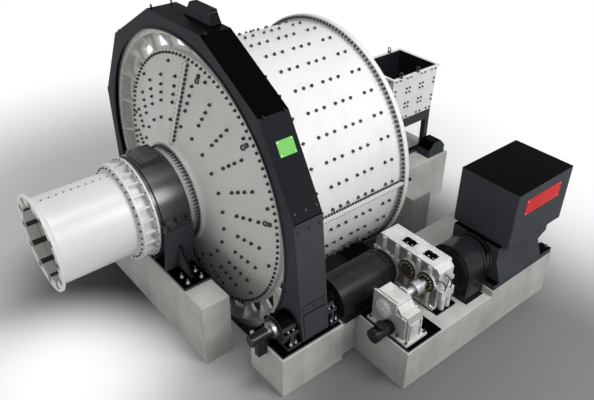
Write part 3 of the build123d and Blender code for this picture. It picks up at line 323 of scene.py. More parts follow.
finishes = {
    "shellWhite": enamel("shellWhite", (0.80, 0.79, 0.775), (0.74, 0.73, 0.715), 0.36, 90.0),
    "headCream": enamel("headCream", (0.76, 0.745, 0.705), (0.71, 0.695, 0.655), 0.46, 40.0),
    "paintedGear": paintedGear(gearFinish),
    "linedSpout": linedSpout(spoutFinish),
    "glossBlack": enamel("glossBlack", (0.009, 0.010, 0.012), (0.014, 0.015, 0.018), 0.27, 50.0,
                         ior=1.28),
    "bearingBlue": enamel("bearingBlue", (0.020, 0.022, 0.026), (0.026, 0.028, 0.033), 0.30, 50.0,
                          ior=1.75),
    # charcoal's tops are painted nearly black, painted shade
    "charcoal": enamel("charcoal", (0.052, 0.056, 0.063), (0.062, 0.066, 0.074), 0.40, 70.0,
                       topTone=(0.0010, 0.0011, 0.0013), ior=1.06),
    "caseWhite": castPaint("caseWhite", (0.64, 0.635, 0.615), (0.50, 0.495, 0.475), 0.42),
    # the last value of these two is the painted shade's tone in the recesses
    "boxWhite": castPaint("boxWhite", (0.66, 0.655, 0.635), (0.52, 0.515, 0.495), 0.42,
                          recessShade=(3.600, 4.180, (0.15, 0.145, 0.13))),
    "inchingWhite": castPaint("inchingWhite", (0.66, 0.655, 0.635), (0.52, 0.515, 0.495), 0.42,
                              recessShade=(2.438, 3.012, (0.24, 0.235, 0.215))),
    "concrete": castConcrete(),
    "gearGrease": bareSteel("gearGrease", (0.13, 0.125, 0.12), (0.06, 0.055, 0.05), 0.42, 0.7),
    "shaftSteel": bareSteel("shaftSteel", (0.50, 0.50, 0.51), (0.33, 0.32, 0.31), 0.34, 0.9),
    "boltSteel": bareSteel("boltSteel", (0.060, 0.060, 0.064), (0.030, 0.030, 0.033), 0.42, 0.5),
    "washerSteel": bareSteel("washerSteel", (0.30, 0.30, 0.30), (0.18, 0.18, 0.18), 0.40, 0.6),
    "zinc": bareSteel("zinc", (0.72, 0.72, 0.73), (0.50, 0.50, 0.50), 0.28, 0.95),
    "brass": bareSteel("brass", (0.52, 0.38, 0.16), (0.33, 0.23, 0.09), 0.34, 0.9),
    "linerGrey": enamel("linerGrey", (0.78, 0.755, 0.715), (0.66, 0.635, 0.595), 0.55, 60.0),
    "rubber": enamel("rubber", (0.035, 0.034, 0.030), (0.06, 0.058, 0.052), 0.7, 80.0),
    "pipeGreen": enamel("pipeGreen", (0.020, 0.060, 0.050), (0.035, 0.080, 0.070), 0.45, 80.0),
    "plainGreen": enamel("plainGreen", (0.10, 0.44, 0.045), (0.09, 0.39, 0.04), 0.40, 60.0),
    "plainRed": enamel("plainRed", (0.60, 0.020, 0.020), (0.52, 0.018, 0.018), 0.40, 60.0, ior=1.15),
}

slotFinish = {
    "concrete": "concrete",
    "white_paint": "shellWhite",
    "black_paint": "charcoal",
    "case_paint": "caseWhite",
    "gear_steel": "gearGrease",
    "shaft_steel": "shaftSteel",
}
nodeFinish = {
    "discharge_head_left": "headCream",
    "discharge_head_right": "headCream",
    "feed_head_left": "headCream",
    "feed_head_right": "headCream",
    "ring_gear_web": "headCream",
    "ring_gear_rim": "paintedGear",
    "discharge_spout": "linedSpout",
    "discharge_bearing_cap": "bearingBlue",
    "feed_bearing_cap": "bearingBlue",
    "coupling_guard": "glossBlack",
    "motor_coupling_guard": "glossBlack",
    "pinion_end_cover": "glossBlack",
    "inching_motor": "glossBlack",
    "gearbox_lower_case": "boxWhite",
    "gearbox_upper_case": "boxWhite",
    "inching_gearbox": "inchingWhite",
}


def dressNodes():
    slots = {row["node"]: row["material_slot"] for row in frame["record"]["subparts"]}
    for name, node in nodes.items():
        finish = nodeFinish.get(name) or slotFinish[slots[name]]
        node.data.materials.clear()
        node.data.materials.append(finishes[finish])


dressNodes()
print("finishes on the CAD nodes")

# forms: a form is its points and a list of face arrays, each array of one width


def between(rings, sides):
    # quads from each ring to the next
    here = np.arange(sides)
    onward = np.roll(here, -1)
    quads = np.stack([here, onward, onward + sides, here + sides], axis=-1)
    return (np.arange(rings - 1)[:, None, None] * sides + quads).reshape(-1, 4)


def capped(rings, sides):
    # the same quads with a flat face at each end
    ends = np.arange(sides)[None]
    return [between(rings, sides), ends[:, ::-1], ends + (rings - 1) * sides]


def turned(profile, sides):
    # radius and height pairs carried round +Z: x = r cos a, y = r sin a, z = h
    r, h = np.array(profile, float).T[:, :, None]
    a = tau * np.arange(sides) / sides
    points = np.stack(np.broadcast_arrays(r * np.cos(a), r * np.sin(a), h), axis=-1)
    return points.reshape(-1, 3), capped(len(profile), sides)


def hoop(profile, sides, span=360.0, start=0.0):
    # a closed profile, drawn anticlockwise, carried round +Z for the whole turn or a capped span
    r, h = np.array(profile, float).T[:, None, :]
    whole = span == 360.0
    stations = sides if whole else sides + 1
    a = np.radians(start + span * np.arange(stations) / sides)[:, None]
    points = np.stack(np.broadcast_arrays(r * np.cos(a), r * np.sin(a), h), axis=-1).reshape(-1, 3)
    groups = [between(sides + 1, len(profile)) % len(points)] if whole else capped(stations, len(profile))
    return points, [g[:, ::-1] for g in groups]


def slab(width, depth, height, corner, bevel):
    # a rounded rectangle carried up through four levels, drawn in by the bevel at both ends
    a = (np.linspace(0, math.pi / 2, 4) + np.arange(4)[:, None] * math.pi / 2).ravel()
    cornerX = np.repeat([1, -1, -1, 1], 4) * (width / 2 - corner)
    cornerY = np.repeat([1, 1, -1, -1], 4) * (depth / 2 - corner)
    r = corner - np.array([bevel, 0, 0, bevel])[:, None]
    h = np.array([0, bevel, height - bevel, height])[:, None]
    points = np.stack(np.broadcast_arrays(cornerX + r * np.cos(a), cornerY + r * np.sin(a), h), axis=-1)
    return points.reshape(-1, 3), capped(4, len(a))


def swept(path, radius, sides=10):
    # a circle carried along a path: p + r (n cos a + b sin a), n and b square to the path
    path = np.array(path, float)
    along = np.gradient(path, axis=0)
    along /= np.linalg.norm(along, axis=1, keepdims=True)
    aside = (0.31, 0.17, 0.93)         # a direction that no path follows
    n = np.cross(along, aside)
    n /= np.linalg.norm(n, axis=1, keepdims=True)
    b = np.cross(along, n)
    a = (tau * np.arange(sides) / sides)[:, None]
    points = path[:, None] + radius * (n[:, None] * np.cos(a) + b[:, None] * np.sin(a))
    return points.reshape(-1, 3), capped(len(path), sides)


def bend(first, second, third, fourth, count=14):
    # cubic curve between the first and fourth points, pulled by the two between
    t = np.linspace(0, 1, count)[:, None]
    first, second, third, fourth = (np.array(p, float) for p in (first, second, third, fourth))
    return ((1 - t) ** 3 * first + 3 * (1 - t) ** 2 * t * second
            + 3 * (1 - t) * t ** 2 * third + t ** 3 * fourth)


def stamped(form, places, axes, ups=None):
    # the form set at each place, its +Z along the axis and its +Y towards the up
    points, groups = form
    places = np.atleast_2d(np.array(places, float))
    z = np.broadcast_to(np.array(axes, float), places.shape)
    z = z / np.linalg.norm(z, axis=1, keepdims=True)
    if ups is None:
        ups = np.where(np.abs(z[:, 1:2]) < 0.9, (0.0, 1.0, 0.0), (1.0, 0.0, 0.0))
    y = ups - np.sum(ups * z, axis=1, keepdims=True) * z
    y = y / np.linalg.norm(y, axis=1, keepdims=True)
    x = np.cross(y, z)
    axesAll = np.stack([x, y, z], axis=1)
    placed = places[:, None] + np.einsum("pk,nkc->npc", points, axesAll)
    steps = (np.arange(len(places)) * len(points))[:, None, None]
    return placed.reshape(-1, 3), [(g[None] + steps).reshape(-1, g.shape[1]) for g in groups]


def joined(forms):
    starts = np.cumsum([0] + [len(points) for points, _ in forms])
    points = np.concatenate([points for points, _ in forms])
    return points, [g + start for (_, groups), start in zip(forms, starts) for g in groups]


sharpAngle = math.radians(38)       # edges that turn further than this stay crisp


def showPiece(name, parts, body):
    # each part is a form and its finish; the finishes become the mesh's material slots
    points, groups = joined([form for form, _ in parts])
    counts = [sum(len(g) for g in form[1]) for form, _ in parts]
    kinds = list(dict.fromkeys(finish for _, finish in parts))
    faces = [row for g in groups for row in g.tolist()]
    mesh = bpy.data.meshes.new(name)
    mesh.from_pydata(points.tolist(), [], faces)
    for kind in kinds:
        mesh.materials.append(finishes[kind])
    index = np.repeat([kinds.index(finish) for _, finish in parts], counts)
    mesh.polygons.foreach_set("material_index", index.astype(np.int32))
    mesh.polygons.foreach_set("use_smooth", np.ones(len(faces), bool))
    mesh.set_sharp_from_angle(angle=sharpAngle)
    mesh.update()
    made = bpy.data.objects.new(name, mesh)
    bpy.context.scene.collection.objects.link(made)
    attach(made, body)


def fallOn(nodeNames, places, way):
    # where a line from each place first meets the named CAD nodes
    way = Vector(way).normalized()
    hits = []
    for place in np.atleast_2d(places):
        found = [nodes[name].ray_cast(Vector(place), way) for name in nodeNames]
        near = [(hit[1] - Vector(place)).length for hit in found if hit[0]]
        if near:
            hits.append(Vector(place) + way * min(near))
    return np.array(hits)


def spread(*lists):
    # every combination of the given coordinates, as rows
    return np.stack(np.meshgrid(*lists, indexing="ij"), axis=-1).reshape(-1, len(lists))


def roundMill(degrees, radius, y):
    # places round the mill: x = r cos a, z = axis height + r sin a
    a = np.radians(degrees)
    return np.stack(np.broadcast_arrays(radius * np.cos(a), y, axisZ + radius * np.sin(a)), axis=-1)


def outward(degrees):
    # the way straight out from the mill axis at each angle
    a = np.radians(degrees)
    return np.stack([np.cos(a), np.zeros_like(a), np.sin(a)], axis=-1)


def overAt(points):
    # the same points at the feed end, where the mill repeats itself in reverse
    return points * (1, -1, 1) + (0, 2 * midY, 0)


def steps(count, first=0.5):
    # angles of an even ring in degrees, from a share of a step on
    return 360 / count * (np.arange(count) + first)


def circle(x, y, z, radius, count):
    # places of an even ring that looks along Y
    return np.array((x, y, z)) + radius * outward(steps(count))


def bolts(places, axes, width, nut="boltSteel", washer="washerSteel", stud=0.5):
    # hexagon nut with the bolt's end over it, on a round washer, in shares of half its width
    w = width / 2
    plate = turned([(1.22 * w, 0), (1.22 * w, 0.24 * w)], 12)
    head = turned([(w, 0.22 * w), (w, 1.1 * w), (0.84 * w, 1.25 * w)], 6)
    end = turned([(0.5 * w, 1.2 * w), (0.42 * w, (1.25 + stud) * w)], 7)
    return [(stamped(plate, places, axes), washer), (stamped(joined([head, end]), places, axes), nut)]


def ringForm(radius, thick, lift, sides):
    # a round bar bent into a ring about +Z
    a = tau * np.arange(8) / 8
    return hoop(np.stack([radius + thick * np.cos(a), lift + thick * np.sin(a)], axis=-1), sides)


def rings(places, axes, radius, thick, ups=None):
    # round lifting eyes that stand on their places
    points, groups = ringForm(radius, thick, 0.0, 18)
    points = points[:, [0, 2, 1]] * (1, -1, 1) + (0, 0, radius + 0.5 * thick)
    return stamped((points, groups), places, axes, ups)


# mill: bolts of the shell, the heads and their joints

shellSet = {
    "r": 2.798, "rows": 34, "firstRow": 2.647, "nut": 0.066,
    "places": (1.865, 2.075, 2.290, 2.686, 2.897, 3.105, 3.404, 3.609, 3.820, 4.213, 4.415),
    "ringR": 2.872, "ringNut": 0.062, "rimY": 1.225, "rimNuts": 120,
    "endY": 4.708, "endNuts": 170, "endStud": 0.6,
    "barX": 2.848, "barHalf": 0.045, "barY": (1.72, 4.64), "barNuts": 40, "barNut": 0.052, "barStud": 0.9,
}


def dressShell(s):
    angle, y = spread(s["firstRow"] + steps(s["rows"], 0), s["places"]).T
    rows = bolts(roundMill(angle, s["r"], y), outward(angle), s["nut"])
    showPiece("shellBolts", rows, "drum")
    rims = roundMill(steps(s["rimNuts"]), s["ringR"], s["rimY"])
    ends = roundMill(steps(s["endNuts"]), s["ringR"], s["endY"])
    parts = bolts(ends, (0, -1, 0), s["ringNut"], stud=s["endStud"])
    parts += bolts(rims, (0, -1, 0), s["ringNut"])
    parts += bolts(overAt(rims), (0, 1, 0), s["ringNut"])
    showPiece("flangeNuts", parts, "drum")
    along = np.linspace(*s["barY"], s["barNuts"])
    parts = []
    for way in (1, -1):
        places = spread((-s["barX"], s["barX"]), along, (axisZ + way * s["barHalf"],))
        parts += bolts(places, (0, 0, way), s["barNut"], washer="boltSteel", stud=s["barStud"])
    showPiece("splitBarNuts", parts, "drum")


headSet = {
    "coneLow": (1.122, 0.685), "coneHigh": (2.813, 1.225),      # radius and Y of the cone's two edges
    "rows": 24, "radii": (1.585, 1.925, 2.083, 2.244, 2.435), "outerR": 2.700, "nut": 0.070,
    "jointX": 0.045, "jointR": (1.24, 2.74), "jointNuts": 18, "jointLift": 0.024, "jointNut": 0.056,
    "trunnionY": 0.585, "trunnionR": 1.050, "trunnionNuts": 84, "trunnionNut": 0.054, "trunnionStud": 2.6,
    "eyes": (7.6, 42.0, 80.2, 187.6, 222.0, 260.2), "eyeR": 2.690,
    "eyeBoss": ((0.050, 0), (0.050, 0.024), (0.034, 0.044), (0.010, 0.048)),
    "linkR": 0.048, "linkThick": 0.014, "linkLift": 0.018, "linkDrop": 0.096,
}


def dressHeads(h):
    (r0, y0), (r1, y1) = h["coneLow"], h["coneHigh"]
    slope = (y1 - y0) / (r1 - r0)

    def onCone(angle, radius):
        # the cone's face at a radius, and the way that it looks
        way = outward(angle) * slope - (0, 1, 0)
        return roundMill(angle, radius, y0 + slope * (radius - r0)), way

    rows = steps(h["rows"])
    inner = spread(rows, h["radii"])
    outer = spread(rows[::2] + 180 / h["rows"], (h["outerR"],))
    places, ways = onCone(*np.concatenate([inner, outer]).T)
    radius = np.linspace(*h["jointR"], h["jointNuts"])
    jointY = y0 + slope * (radius - r0) - h["jointLift"]
    nuts = roundMill(steps(h["trunnionNuts"], 0), h["trunnionR"], h["trunnionY"])
    eyes = np.array(h["eyes"])
    eyePlaces, eyeWays = onCone(eyes, h["eyeR"])
    linkPlaces = eyePlaces - (outward(eyes) + (0, slope, 0)) * h["linkDrop"]
    boss = turned(h["eyeBoss"], 18)
    link = ringForm(h["linkR"], h["linkThick"], h["linkLift"], 24)
    for name, other in (("discharge", False), ("feed", True)):
        place = overAt if other else np.array
        flip = (1, -1, 1) if other else (1, 1, 1)
        parts = bolts(place(places), ways * flip, h["nut"])
        for side in (-1, 1):
            for way in (-1, 1):
                row = np.stack([np.full_like(radius, way * h["jointX"]), jointY,
                                axisZ + side * radius], axis=-1)
                parts += bolts(place(row), (way, 0, 0), h["jointNut"])
        parts += bolts(place(nuts), np.array((0, -1, 0)) * flip, h["trunnionNut"], stud=h["trunnionStud"])
        parts += [(stamped(boss, place(eyePlaces), eyeWays * flip), "boltSteel"),
                  (stamped(link, place(linkPlaces), eyeWays * flip), "boltSteel")]
        showPiece(name + "HeadBolts", parts, "drum")


spoutSet = {
    "y0": -2.356, "r": 0.894, "bore": 0.820,
    "hubY0": -0.690, "hubR": 0.975, "hubNuts": 36, "hubNut": 0.042,
    "backY": -0.380, "backR": 1.062, "backNut": 0.03,
    "seamAngle": 92.0, "seamWide": 7.0, "seamThick": 0.006, "seamSink": 0.002, "seamY": (-2.19, -0.73),
    "seamBolts": 10, "seamNut": 0.026, "seamEnd": 0.06,
    "plates": 12, "plateSpan": 21.6, "plateFirst": 16.0, "plateThick": 0.014, "plateSink": 0.001,
    "plateRows": ((-2.340, -2.130), (-2.120, -1.40), (-1.39, -0.70)),
    "sleeveThick": 0.003, "sleeveStart": 0.03,
}


def aroundMill(inner, outer, low, high, sides, span=360.0, start=0.0):
    # a tube about the mill axis between two radii and two Y, or a span of it
    section = [(inner, low), (outer, low), (outer, high), (inner, high)]
    return stamped(hoop(section, sides, span, start), (0, 0, axisZ), (0, 1, 0), (0, 0, -1))


def dressSpout(s):
    # along the mill's +Y the turn runs from +X down, so start angles change sign
    (seamLow, seamHigh), top = s["seamY"], s["r"] + s["seamThick"]
    seam = aroundMill(s["r"] - s["seamSink"], top, seamLow, seamHigh, 4,
                      s["seamWide"], -s["seamAngle"] - s["seamWide"] / 2)
    y = np.linspace(seamLow + s["seamEnd"], seamHigh - s["seamEnd"], s["seamBolts"])
    angle = np.full_like(y, s["seamAngle"])
    parts = [(seam, "shellWhite")] + bolts(roundMill(angle, top, y), outward(angle), s["seamNut"])
    ring = steps(s["hubNuts"])
    parts += bolts(roundMill(ring, s["hubR"], s["hubY0"]), (0, -1, 0), s["hubNut"])
    parts += bolts(roundMill(ring, s["backR"], s["backY"]), (0, -1, 0), s["backNut"])
    showPiece("spoutBolts", parts, "drum")
    outer, inner = s["bore"] + s["plateSink"], s["bore"] - s["plateThick"]
    starts = -(s["plateFirst"] + steps(s["plates"], 0)) - s["plateSpan"] / 2
    plates = [aroundMill(inner, outer, low, high, 5, s["plateSpan"], start)
              for low, high in s["plateRows"] for start in starts]
    sleeve = aroundMill(s["bore"] - s["sleeveThick"], outer, s["y0"] + s["sleeveStart"], s["hubY0"], 64)
    showPiece("spoutLiner", [(joined(plates), "linerGrey"), (sleeve, "rubber")], "drum")


dressShell(shellSet)
dressHeads(headSet)
dressSpout(spoutSet)
print("mill bolts and liner")

# bearings, guard and pinion line; a From value is where the line that finds a bolt's seat starts

bearingSet = {
    "lid": (0.60, 0.44, 0.016), "lidCorner": 0.03, "lidBevel": 0.004, "lidMidY": 0.04, "lidFrom": 6.0,
    "lidBolts": (np.linspace(-0.26, 0.26, 4), (-0.145, 0.225)), "lidNut": 0.034,
    "ledgeX": 1.17, "ledgeY": (-0.20, 0.04, 0.28), "ledgeFrom": 4.4, "ledgeNut": 0.070, "ledgeStud": 1.4,
    "footX": (1.40, 1.64), "footY": (-0.16, 0.16), "footFrom": 2.75, "footNut": 0.075, "footStud": 1.8,
    "sealR": 1.000, "sealY": -0.32, "sealNuts": 28, "sealNut": 0.036,
}


def dressBearings(b):
    cap, base = "discharge_bearing_cap", "discharge_bearing_base"
    crown = fallOn([cap], (0.0, b["lidMidY"], b["lidFrom"]), downward)[0, 2]
    lid = stamped(slab(*b["lid"], b["lidCorner"], b["lidBevel"]), (0, b["lidMidY"], crown), upward)
    lidNuts = spread(*b["lidBolts"], (crown + b["lid"][2],))
    ledge = spread((-b["ledgeX"], b["ledgeX"]), b["ledgeY"], (b["ledgeFrom"],))
    ledge = fallOn([cap, base], ledge, downward)
    feet = spread([*b["footX"], *(-x for x in b["footX"])], b["footY"], (b["footFrom"],))
    feet = fallOn([base], feet, downward)
    seal = roundMill(steps(b["sealNuts"]), b["sealR"], b["sealY"])
    for name, other in (("discharge", False), ("feed", True)):
        place = overAt if other else np.array
        lidFaces = [g[:, ::-1] for g in lid[1]] if other else lid[1]
        parts = [((place(lid[0]), lidFaces), "bearingBlue")]
        parts += bolts(place(lidNuts), upward, b["lidNut"], "boltSteel", "bearingBlue")
        parts += bolts(place(ledge), upward, b["ledgeNut"], "boltSteel", "charcoal", b["ledgeStud"])
        parts += bolts(place(feet), upward, b["footNut"], "zinc", "zinc", b["footStud"])
        parts += bolts(place(seal), (0, 1 if other else -1, 0), b["sealNut"], "boltSteel", "charcoal")
        showPiece(name + "BearingBolts", parts, "foundation")


guardSet = {
    "apothem": 3.662, "corner": 3.791,
    "joints": ((12.5, 0.1), (17.5, 0.5773503)),     # turn round the mill, and rise of a nut's axis
    "jointY": (1.06, 1.31, 1.56), "jointFrom": 4.391, "jointNut": 0.044,
    "bandZ": 2.695, "panelZ": (2.06, 2.28, 2.50), "panelY": (1.075, 1.545), "panelNut": 0.034,
    "legFrom": 4.6, "legWay": (0.9945, 0, 0.1049),
    "eyes": (45.0, 75.0, 105.0, 135.0), "eyeY": (1.08, 1.54),
    "eyeR": 0.030, "eyeThick": 0.011, "eyeSink": 0.012,
    "plate": (0.37, 0.30, 0.008), "plateAngle": 30.0, "plateAlong": 0.368, "plateY": 1.35,
    "plateInset": 0.03, "plateScrew": 0.011,
}


def screwedPlate(size, inset, finish, screw, place, way, up):
    # a plain plate with a screw in each corner
    width, depth, height = size
    plate = slab(width, depth, height, corner=0.012, bevel=0.002)
    spots = spread((-1, 1), (-1, 1), (0,)) * (width / 2 - inset, depth / 2 - inset, 0) + (0, 0, height)
    head = turned([(screw, 0), (screw, 0.3 * screw), (0.7 * screw, 0.6 * screw)], 12)
    screws = stamped(head, spots, upward)
    return [(stamped(plate, place, way, up), finish), (stamped(screws, place, way, up), "zinc")]


def dressGuard(g):
    guard = [name for name in nodes if "guard" in name]
    parts = []
    for side in (1, -1):
        for turn, rise in g["joints"]:
            z = axisZ + g["corner"] * math.sin(math.radians(turn))
            spots = fallOn(guard, spread((side * g["jointFrom"],), g["jointY"], (z,)), (-side, 0, 0))
            parts += bolts(spots, (side, 0, rise), g["jointNut"], "boltSteel", "boltSteel")
    band = fallOn(guard, spread((g["legFrom"],), g["jointY"], (g["bandZ"],)), (-1, 0, 0))
    panel = fallOn(guard, spread((g["legFrom"],), g["panelY"], g["panelZ"]), (-1, 0, 0))
    parts += bolts(band, g["legWay"], g["jointNut"], "boltSteel", "boltSteel")
    parts += bolts(panel, g["legWay"], g["panelNut"], "boltSteel", "boltSteel")
    turn, y = spread(g["eyes"], g["eyeY"]).T
    spots = roundMill(turn, g["corner"] - g["eyeSink"], y)
    parts += [(rings(spots, outward(turn), g["eyeR"], g["eyeThick"], (0, 1, 0)), "charcoal")]
    showPiece("guardBolts", parts, "foundation")
    a = math.radians(g["plateAngle"])
    way, up = (math.cos(a), 0, math.sin(a)), (-math.sin(a), 0, math.cos(a))
    spot = np.array(way) * g["apothem"] + np.array(up) * g["plateAlong"] + (0, g["plateY"], axisZ)
    plate = screwedPlate(g["plate"], g["plateInset"], "plainGreen", g["plateScrew"], spot, way, up)
    showPiece("guardPlate", plate, "foundation")


pinionSet = {
    "x": 3.52261, "z": 2.229, "blocks": (0.765, 1.80), "halfPitch": 0.06,
    "earX": 0.312, "earFrom": 3.0, "earNut": 0.048, "earStud": 1.2,
    "footX": 0.385, "footFrom": 2.12, "footNut": 0.060, "footStud": 1.8,
    "coverR": 0.095, "coverFrom": -0.38, "coverNuts": 6, "coverNut": 0.026,
}


def dressPinion(p):
    blocks = [name for name in nodes if "pinion" in name and "bearing" in name]
    parts = []
    for kind, washer in (("ear", "boltSteel"), ("foot", "zinc")):
        x = (p["x"] - p[kind + "X"], p["x"] + p[kind + "X"])
        y = [mid + way * p["halfPitch"] for mid in p["blocks"] for way in (-1, 1)]
        spots = fallOn(blocks, spread(x, y, (p[kind + "From"],)), downward)
        parts += bolts(spots, upward, p[kind + "Nut"], "zinc", washer, p[kind + "Stud"])
    cover = circle(p["x"], p["coverFrom"], p["z"], p["coverR"], p["coverNuts"])
    cover = fallOn(list(nodes), cover, (0, 1, 0))
    parts += bolts(cover, (0, -1, 0), p["coverNut"], "boltSteel", "boltSteel")
    showPiece("pinionBolts", parts, "foundation")


dressBearings(bearingSet)
dressGuard(guardSet)
dressPinion(pinionSet)
print("bearing, guard and pinion bolts")

# gearbox, inching drive and motor

gearboxSet = {
    "splitX": (3.25, 4.88), "splitY": (3.632, 4.148), "splitZ": 2.602, "splitSlack": 0.02,
    "splitNuts": 13, "splitFrom": 2.72, "splitNut": 0.040, "splitStud": 0.9,
    "lidX": (3.40, 4.72), "lidY": (3.665, 4.115), "lidNuts": 9, "lidFrom": 3.4, "lidNut": 0.032,
    "footX": (3.24, 3.62, 4.02, 4.42, 4.86), "footY": (3.625, 4.155), "footFrom": 2.16,
    "footNut": 0.05, "footStud": 1.6,
    # shaft covers: X, Z, radius and hole; their steps are shares of the radius, and heights
    "caps": ((4.1706, 2.56, 0.222, 0.02), (4.680, 2.56, 0.222, 0.10), (3.5226, 2.229, 0.385, 0.15)),
    "capSteps": ((1.00, 0), (1.00, 0.016), (0.86, 0.030), (0.62, 0.030), (0.58, 0.052)), "capSeat": 0.80,
    "capFrom": 3.2, "capNuts": 14, "capNutsAt": 0.74, "capNutLift": 0.030, "capNut": 0.034,
    # top covers: X, Y, width and depth; their bolts are at shares of both
    "covers": ((3.943, 3.867, 0.294, 0.194), (4.5125, 3.874, 0.285, 0.192)),
    "coverHigh": 0.022, "coverCorner": 0.02, "coverBevel": 0.005,
    "coverBolts": ((-0.42, 0, 0.42), (-0.38, 0.38)), "coverNut": 0.024,
    # oil pipes: radius, then the four points that guide the bend
    "pipes": (
        (0.016, (5.03, 3.805, 2.44), (5.06, 3.80, 2.62), (5.02, 3.70, 2.74), (4.90, 3.66, 2.70)),
        (0.016, (5.03, 3.975, 2.44), (5.09, 3.98, 2.66), (5.04, 3.86, 2.80), (4.86, 3.80, 2.83)),
        (0.012, (4.99, 3.89, 2.44), (5.00, 3.90, 2.54), (4.99, 3.95, 2.58), (4.94, 3.98, 2.60)),
    ),
}


def dressGearbox(g):
    case = [name for name in nodes if name.startswith("gearbox")]
    split = spread(np.linspace(*g["splitX"], g["splitNuts"]), g["splitY"], (g["splitFrom"],))
    split = fallOn(case, split, downward)
    split = split[np.abs(split[:, 2] - g["splitZ"]) < g["splitSlack"]]
    lid = spread(np.linspace(*g["lidX"], g["lidNuts"]), g["lidY"], (g["lidFrom"],))
    feet = spread(g["footX"], g["footY"], (g["footFrom"],))
    parts = bolts(split, upward, g["splitNut"], "brass", "zinc", g["splitStud"])
    parts += bolts(fallOn(case, lid, downward), upward, g["lidNut"], "zinc", "zinc")
    parts += bolts(fallOn(case, feet, downward), upward, g["footNut"], "zinc", "zinc", g["footStud"])
    showPiece("gearboxBolts", parts, "foundation")
    covers = []
    for x, z, r, hole in g["caps"]:
        y = fallOn(case, (x + g["capSeat"] * r, g["capFrom"], z), (0, 1, 0))[0, 1]
        edge = [(share * r, high) for share, high in g["capSteps"]]
        cap = hoop([(hole, 0), *edge, (hole, edge[-1][1])], 40)
        covers += [(stamped(cap, (x, y, z), (0, -1, 0)), "charcoal")]
        spots = circle(x, y - g["capNutLift"], z, g["capNutsAt"] * r, g["capNuts"])
        covers += bolts(spots, (0, -1, 0), g["capNut"], "brass", "brass")
    for x, y, width, depth in g["covers"]:
        top = fallOn(case, (x, y, g["lidFrom"]), downward)[0]
        cover = slab(width, depth, g["coverHigh"], g["coverCorner"], g["coverBevel"])
        covers += [(stamped(cover, top, upward), "charcoal")]
        spots = spread(*g["coverBolts"], (0,)) * (width, depth, 0) + top + (0, 0, g["coverHigh"])
        covers += bolts(spots, upward, g["coverNut"], "zinc", "charcoal")
    showPiece("gearboxCovers", covers, "foundation")
    pipes = [swept(bend(*points), radius) for radius, *points in g["pipes"]]
    showPiece("gearboxOilPipes", [(joined(pipes), "pipeGreen")], "foundation")


inchingSet = {
    "foot": ((4.29, 4.56, 5.02, 5.27), (2.465, 2.985)), "footFrom": 2.3, "footTop": 2.1,
    "footNut": 0.058, "footStud": 1.4,
    "cover": (4.605, 2.435, 0.188), "coverFrom": 2.2, "coverNuts": 10,     # X, Z and radius of the bolt ring
    "top": ((4.36, 4.60, 4.85), (2.53, 2.92)), "topFrom": 3.0, "smallNut": 0.028,
    "ribs": 8, "ribSize": (0.016, 0.105, 0.016), "ribCorner": 0.005, "ribBevel": 0.003, "ribR": 0.098,
    "hub": ((0.052, 0), (0.052, 0.022), (0.040, 0.030)),
}


def dressInching(s):
    case = [name for name in nodes if name.startswith("inching")]
    feet = fallOn(case, spread(*s["foot"], (s["footFrom"],)), downward)
    feet = feet[feet[:, 2] < s["footTop"]]
    parts = bolts(feet, upward, s["footNut"], "boltSteel", "zinc", s["footStud"])
    x, z, r = s["cover"]
    ring = fallOn(case, circle(x, s["coverFrom"], z, r, s["coverNuts"]), (0, 1, 0))
    top = fallOn(case, spread(*s["top"], (s["topFrom"],)), downward)
    parts += bolts(ring, (0, -1, 0), s["smallNut"], "zinc", "zinc")
    parts += bolts(top, upward, s["smallNut"], "zinc", "zinc")
    showPiece("inchingBolts", parts, "foundation")
    face = fallOn(case, (x, s["coverFrom"], z), (0, 1, 0))[0]
    spokes = outward(steps(s["ribs"], 0))
    rib = slab(*s["ribSize"], s["ribCorner"], s["ribBevel"])
    ribs = stamped(rib, face + s["ribR"] * spokes, (0, -1, 0), spokes)
    hub = stamped(turned(s["hub"], 20), face, (0, -1, 0))
    showPiece("inchingCoverRibs", [(joined([ribs, hub]), "caseWhite")], "foundation")


motorSet = {
    "railX": (4.02, 4.30, 5.06, 5.34), "railY": (6.975,), "railFrom": 2.6, "nut": 0.06, "stud": 1.4,
    "plate": (1.20, 0.37, 0.008), "platePlace": (5.395, 6.14, 3.915),
    "plateInset": 0.035, "plateScrew": 0.012,
}


def dressMotor(m):
    motor = [name for name in nodes if name.startswith("motor")]
    feet = fallOn(motor, spread(m["railX"], m["railY"], (m["railFrom"],)), downward)
    parts = bolts(feet, upward, m["nut"], "boltSteel", "boltSteel", m["stud"])
    showPiece("motorBolts", parts, "foundation")
    plate = screwedPlate(m["plate"], m["plateInset"], "plainRed", m["plateScrew"], m["platePlace"],
                         (1, 0, 0), upward)
    showPiece("motorPlate", plate, "foundation")


dressGearbox(gearboxSet)
dressInching(inchingSet)
dressMotor(motorSet)
print("drive details")

# feed hopper

hopperSet = {
    "clusterY": (7.135, 7.635), "clusterZ": (3.92, 4.34), "clusterStep": 0.115,
    "pairsY": (6.66, 6.80, 7.06, 7.19, 7.58, 7.71, 7.97, 8.11), "rowsZ": (3.57, 4.69),
    "pairsZ": (3.80, 3.92, 4.30, 4.42), "sideY": (6.66, 8.11), "sideFrom": 2.0, "nut": 0.050,
    "endX": (-0.56, -0.36, -0.12, 0.12, 0.36, 0.56), "endsFrom": ((-1, 6.3), (1, 9.4)),
    "eyes": ((0.69, 6.80), (0.69, 7.42), (-0.69, 6.98), (-0.69, 7.80)), "eyeFrom": 5.2,
    "eyeR": 0.050, "eyeThick": 0.014, "eyeLift": 0.03, "eyeCollar": ((0.05, 0), (0.05, 0.02), (0.03, 0.04)),
    "middleY": 7.385, "low": 3.506, "high": 4.757, "lowHalf": (0.585, 0.726), "highHalf": (0.640, 0.781),
    "linerThick": 0.010,
}


